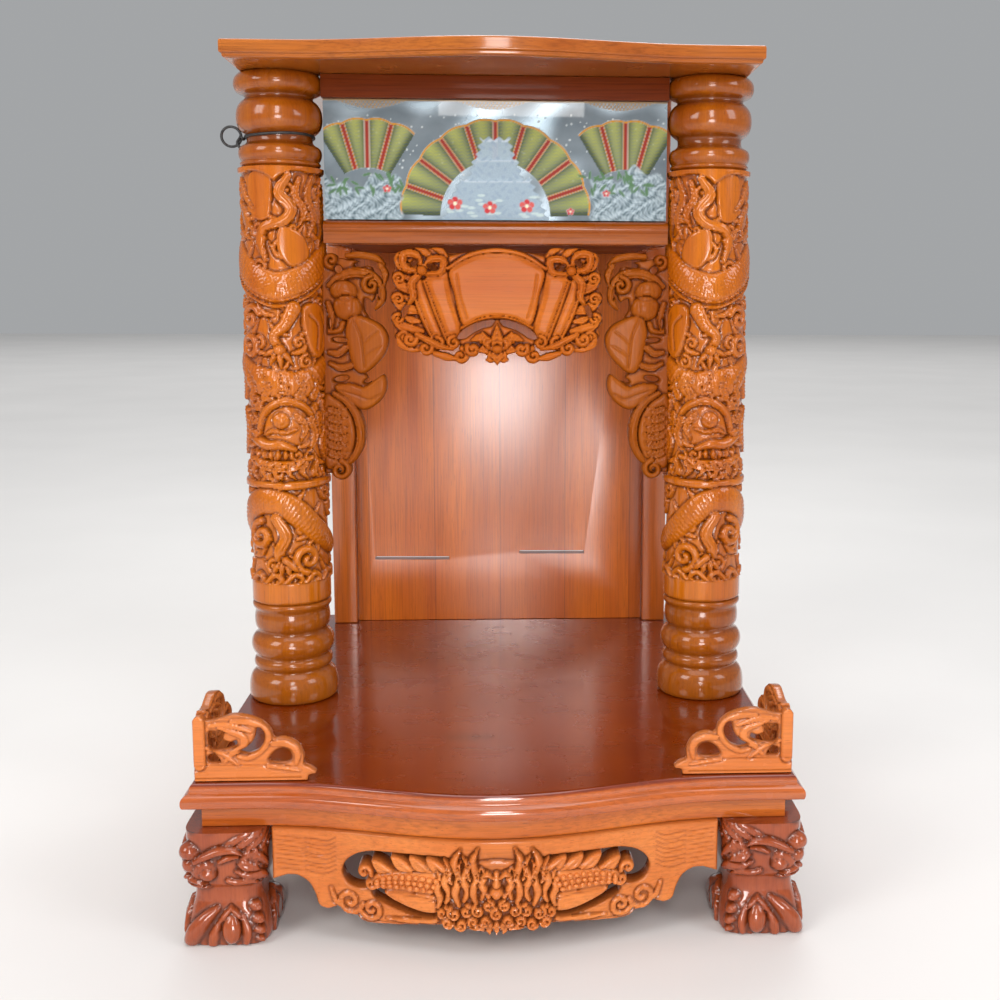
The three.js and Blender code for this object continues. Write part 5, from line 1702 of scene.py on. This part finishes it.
def blossoms(art, x, z):
    """Five-petalled blossoms, three large ones and three small ones."""
    for cx, cz, size in (
        (-37, 14.5, 7.6), (-6, 11.0, 7.2), (27, 12.5, 7.6), (-97, 27, 4.4), (98, 24, 4.0), (66, 8, 4.0),
    ):
        for petal in range(5):
            a = 2 * math.pi * petal / 5 + 0.3
            d = np.hypot(x - cx - 0.55 * size * math.cos(a), z - cz - 0.45 * size * math.sin(a))
            art.dab(soft(0.36 * size - d, 1.0), (0.50, 0.03, 0.035) if petal % 2 else (0.56, 0.09, 0.08))
        art.dab(soft(0.22 * size - np.hypot(x - cx, z - cz)), (0.85, 0.72, 0.50))


def swags(art, x, z):
    """Gilt swags along the head of the pane."""
    for cx in (-110, -3, 110):
        t = np.clip((x - cx) / 32, -1, 1)
        low = 103.0 - 7.0 * np.cos(0.5 * np.pi * t)
        lace = 0.55 + 0.45 * np.sin(1.9 * x) * np.sin(1.5 * z)
        art.dab(soft(z - low, 0.8) * (np.abs(t) < 1) * lace, (0.46, 0.24, 0.04))
    art.dab(soft(z - 102.4), (0.40, 0.22, 0.05), 0.8)


def glass_painting(x, z):
    """Three open fans over frosted leaves, with blossoms along the foot. z runs up from the pane's foot."""
    art = Painting(x, z)
    rng = np.random.default_rng(7)
    mist_and_stars(art, x, z, rng)
    for cx in (-114, 115):
        art.fan(cx, 7, 38, 80, 58, 122, 4)
    art.fan(-1, 3, 49, 84, 1, 179, 10)
    leaves_at_the_foot(art, x, z, rng)
    terraced_rock(art, x, z, rng)
    blossoms(art, x, z)
    swags(art, x, z)
    return art


def painted_pane():
    """The pane: a fine grid that carries the painting in front, plain edges and a plain back."""
    low, high = box_mm("painted_glass")
    X, Z = np.meshgrid(np.linspace(low[0], high[0], 361), np.linspace(low[2], high[2], 127))
    art = glass_painting(X - (low[0] + high[0]) / 2, Z - low[2])
    grid = np.arange(X.size).reshape(X.shape)
    faces = np.stack([grid[:-1, :-1], grid[:-1, 1:], grid[1:, 1:], grid[1:, :-1]], 2).reshape(-1, 4).tolist()
    points = np.stack([X.ravel(), np.full(X.size, low[1]), Z.ravel()], 1)
    rim = np.concatenate([grid[0, :], grid[1:, -1], grid[-1, -2::-1], grid[-2:0:-1, 0]])
    rear = points[rim].copy()
    rear[:, 1] = high[1]
    back = X.size + np.arange(len(rim))
    faces += np.stack([np.roll(rim, -1), rim, back, np.roll(back, -1)], 1).tolist()
    faces.append(back[::-1].tolist())
    paint = np.concatenate([art.rgb.reshape(-1, 3), art.cover.reshape(-1, 1)], 1)
    paint = np.vstack([paint, np.tile([0.2, 0.2, 0.2, 1.0], (len(rim), 1))])
    return add_mesh("painted_pane", np.vstack([points, rear]), faces, painted_mirror(), 30.0, paint=paint)


class ALTAR_OT_glass(bpy.types.Operator):
    """Builds the silvered pane with fans, frosted hills and blossoms painted behind it"""

    bl_idname = "altar.glass"
    bl_label = "Painted Glass"

    def execute(self, context):
        finish_piece(painted_pane(), "painted_glass", "painted_glass")
        return {"FINISHED"}


# --- Wire tie ---


def round_wire_tree():
    """Geometry nodes that sweep a round section along a path."""
    growth, entry, curve = growing_tree("round_wire", Wire_radius="Float", Cover="Material")
    section = growth.node("GeometryNodeCurvePrimitiveCircle", Resolution=12, Radius=entry["Wire radius"])
    sweep = growth.node("GeometryNodeCurveToMesh", Curve=curve, Profile_Curve=section.outputs["Curve"],
                        Fill_Caps=True)
    real = growth.node("GeometryNodeRealizeInstances", Geometry=sweep.outputs["Mesh"])
    return covered(growth, real, entry["Cover"])


def wire_paths():
    """The wire's runs: the band round the column's neck, the ring beside it, the twist and its loose end."""
    low, high = box_mm("wire_tie")
    level = (low[2] + high[2]) / 2
    centre = low[0] + 1.3 + 9.0
    band = [(-COLUMN_X + WIRE_BAND_RADIUS * math.sin(t), COLUMN_Y - WIRE_BAND_RADIUS * math.cos(t),
             level + 0.8 * math.sin(2 * t)) for t in np.linspace(0, 2 * np.pi, 73)]
    ring = [(centre + 8.6 * math.cos(t), COLUMN_Y - 1 - 1.6 * math.sin(t), level + 8.4 * math.sin(t))
            for t in np.linspace(0, 2 * np.pi, 41)]
    twist = [(centre + 7.6 + t * 9.5, COLUMN_Y - 3 + 1.5 * math.cos(14 * t),
              level + 1.5 * math.sin(14 * t) - 1.0)
             for t in np.linspace(0, 1, 41)]
    stub = [(centre + 8, COLUMN_Y - 3, level - 1), (centre + 6, COLUMN_Y - 6, level - 6),
            (centre + 9, COLUMN_Y - 7, level - 11)]
    return [band, ring, twist, spline(stub, 12)]


class ALTAR_OT_wire(bpy.types.Operator):
    """Builds the stiff black wire bound round the left column's neck, with its small twisted ring"""

    bl_idname = "altar.wire"
    bl_label = "Wire Tie"

    def execute(self, context):
        piece = grown("wire_tie_twisted", round_wire_tree(), wire_paths(), {
            "Wire radius": sizes().wire, "Cover": wire_cover()})
        finish_piece(piece, "black_wire", "wire_tie")
        return {"FINISHED"}


# --- Stage ---


def soft_light(name, place, aim, size, watts, colour):
    """A rectangular soft light that faces its aim."""
    light = bpy.data.lights.new(name, "AREA")
    light.shape = "RECTANGLE"
    light.size, light.size_y = size
    light.energy = watts
    light.color = colour
    lamp = bpy.data.objects.new(name, light)
    bpy.context.scene.collection.objects.link(lamp)
    lamp.location = place
    lamp.rotation_euler = (Vector(aim) - Vector(place)).to_track_quat("-Z", "Y").to_euler()


# Each soft light: its place, its aim, its width and height, its watts and its colour.
LIGHTS = {
    "window_light": ((0.02, -2.6, 1.66), (0.0, 0.0, 0.60), (0.46, 1.3), 22, (1.0, 0.97, 0.95)),
    "door_light": ((0.05, -2.3, 0.36), (0.0, 0.0, 0.36), (0.60, 0.50), 16, (1.0, 0.94, 0.93)),
    "left_light": ((-1.7, -1.5, 1.5), (0.0, -0.1, 0.35), (0.9, 1.2), 23, (1.0, 0.97, 0.94)),
    "right_light": ((1.8, -1.2, 1.4), (0.0, 0.0, 0.35), (0.8, 1.2), 14, (0.98, 0.98, 1.0)),
    "top_light": ((0.0, -0.4, 2.3), (0.0, 0.0, 0.3), (1.6, 1.6), 14, (1.0, 1.0, 1.0)),
    "far_light": ((0.0, 6.0, 8.0), (0.0, 7.5, 0.0), (9.0, 5.0), 420, (1.0, 1.0, 1.0)),
    "rear_light": ((0.3, 1.9, 3.2), (0.0, 0.0, 0.35), (1.6, 1.2), 34, (1.0, 1.0, 1.0)),
}
CAMERA_PLACE = (0.0102, -1.1129, 0.4993)
CAMERA_SHIFT = (-0.0654, -0.046)
CAMERA_YAW = math.radians(2.72)
CAMERA_PITCH = math.radians(7.57)
CAMERA_ROLL = math.radians(0.19)


def pale_floor(colour):
    """A broad plain floor under the cabinet."""
    mesh = bpy.data.meshes.new("studio_floor")
    mesh.from_pydata([(-14, -14, 0), (14, -14, 0), (14, 14, 0), (-14, 14, 0)], [], [(0, 1, 2, 3)])
    mesh.materials.append(floor_paint(colour))
    floor = bpy.data.objects.new("studio_floor", mesh)
    bpy.context.scene.collection.objects.link(floor)


def studio_air(strength):
    """Faint even light from every side."""
    world = bpy.data.worlds.new("studio_air")
    world.use_nodes = True
    air = world.node_tree.nodes["Background"]
    air.inputs["Color"].default_value = (0.80, 0.82, 0.84, 1)
    air.inputs["Strength"].default_value = strength
    return world


def front_camera(focal_length):
    """The camera in front, turned by its yaw, pitch and roll."""
    yaw, pitch, roll = CAMERA_YAW, CAMERA_PITCH, CAMERA_ROLL
    ahead = Vector((math.sin(yaw) * math.cos(pitch), math.cos(yaw) * math.cos(pitch), -math.sin(pitch)))
    right = Vector((math.cos(yaw), -math.sin(yaw), 0))
    up = right.cross(ahead)
    right, up = math.cos(roll) * right + math.sin(roll) * up, math.cos(roll) * up - math.sin(roll) * right
    lens = bpy.data.cameras.new("camera")
    lens.lens, lens.sensor_width = focal_length, 36.0
    lens.shift_x, lens.shift_y = CAMERA_SHIFT
    camera = bpy.data.objects.new("camera", lens)
    bpy.context.scene.collection.objects.link(camera)
    camera.matrix_world = Matrix.Translation(CAMERA_PLACE) @ Matrix((right, up, -ahead)).transposed().to_4x4()
    return camera


class ALTAR_OT_stage(bpy.types.Operator):
    """Sets the pale floor, the soft studio lights and the camera"""

    bl_idname = "altar.stage"
    bl_label = "Floor, Lights and Camera"

    def execute(self, context):
        scene = context.scene
        look = scene.altar_stage
        pale_floor(look.floor)
        scene.world = studio_air(0.46 * look.brightness)
        scene.view_settings.view_transform = "Standard"
        for name, (place, aim, size, watts, colour) in LIGHTS.items():
            soft_light(name, place, aim, size, watts * look.brightness, colour)
        scene.camera = front_camera(look.lens)
        return {"FINISHED"}


class ALTAR_PT_panel(bpy.types.Panel):
    """Sidebar panel with the sizes, colours and pieces"""

    bl_idname = "ALTAR_PT_panel"
    bl_label = "Household Altar Cabinet"
    bl_space_type = "VIEW_3D"
    bl_region_type = "UI"
    bl_category = "Altar"

    def draw(self, context):
        for group in (context.scene.altar_wood, context.scene.altar_carving, context.scene.altar_stage):
            box = self.layout.box()
            for key in group.__annotations__:
                box.prop(group, key)
        for operator in OPERATORS:
            self.layout.operator(operator.bl_idname)


OPERATORS = (ALTAR_OT_deck, ALTAR_OT_case, ALTAR_OT_columns, ALTAR_OT_feet, ALTAR_OT_apron, ALTAR_OT_valance,
             ALTAR_OT_galleries, ALTAR_OT_glass, ALTAR_OT_wire, ALTAR_OT_stage)
GROUPS = {"altar_wood": AltarWood, "altar_carving": AltarCarving, "altar_stage": AltarStage}


def register():
    for cls in (*GROUPS.values(), *OPERATORS, ALTAR_PT_panel):
        bpy.utils.register_class(cls)
    for key, group in GROUPS.items():
        setattr(bpy.types.Scene, key, bpy.props.PointerProperty(type=group))


def unregister():
    for key in GROUPS:
        delattr(bpy.types.Scene, key)
    for cls in (ALTAR_PT_panel, *reversed(OPERATORS), *reversed(list(GROUPS.values()))):
        bpy.utils.unregister_class(cls)


def main():
    """Builds every piece and the stage."""
    register()
    bpy.ops.altar.deck()
    bpy.ops.altar.case()
    bpy.ops.altar.columns()
    bpy.ops.altar.feet()
    bpy.ops.altar.apron()
    bpy.ops.altar.valance()
    bpy.ops.altar.galleries()
    bpy.ops.altar.glass()
    bpy.ops.altar.wire()
    bpy.ops.altar.stage()


if __name__ == "__main__":
    main()
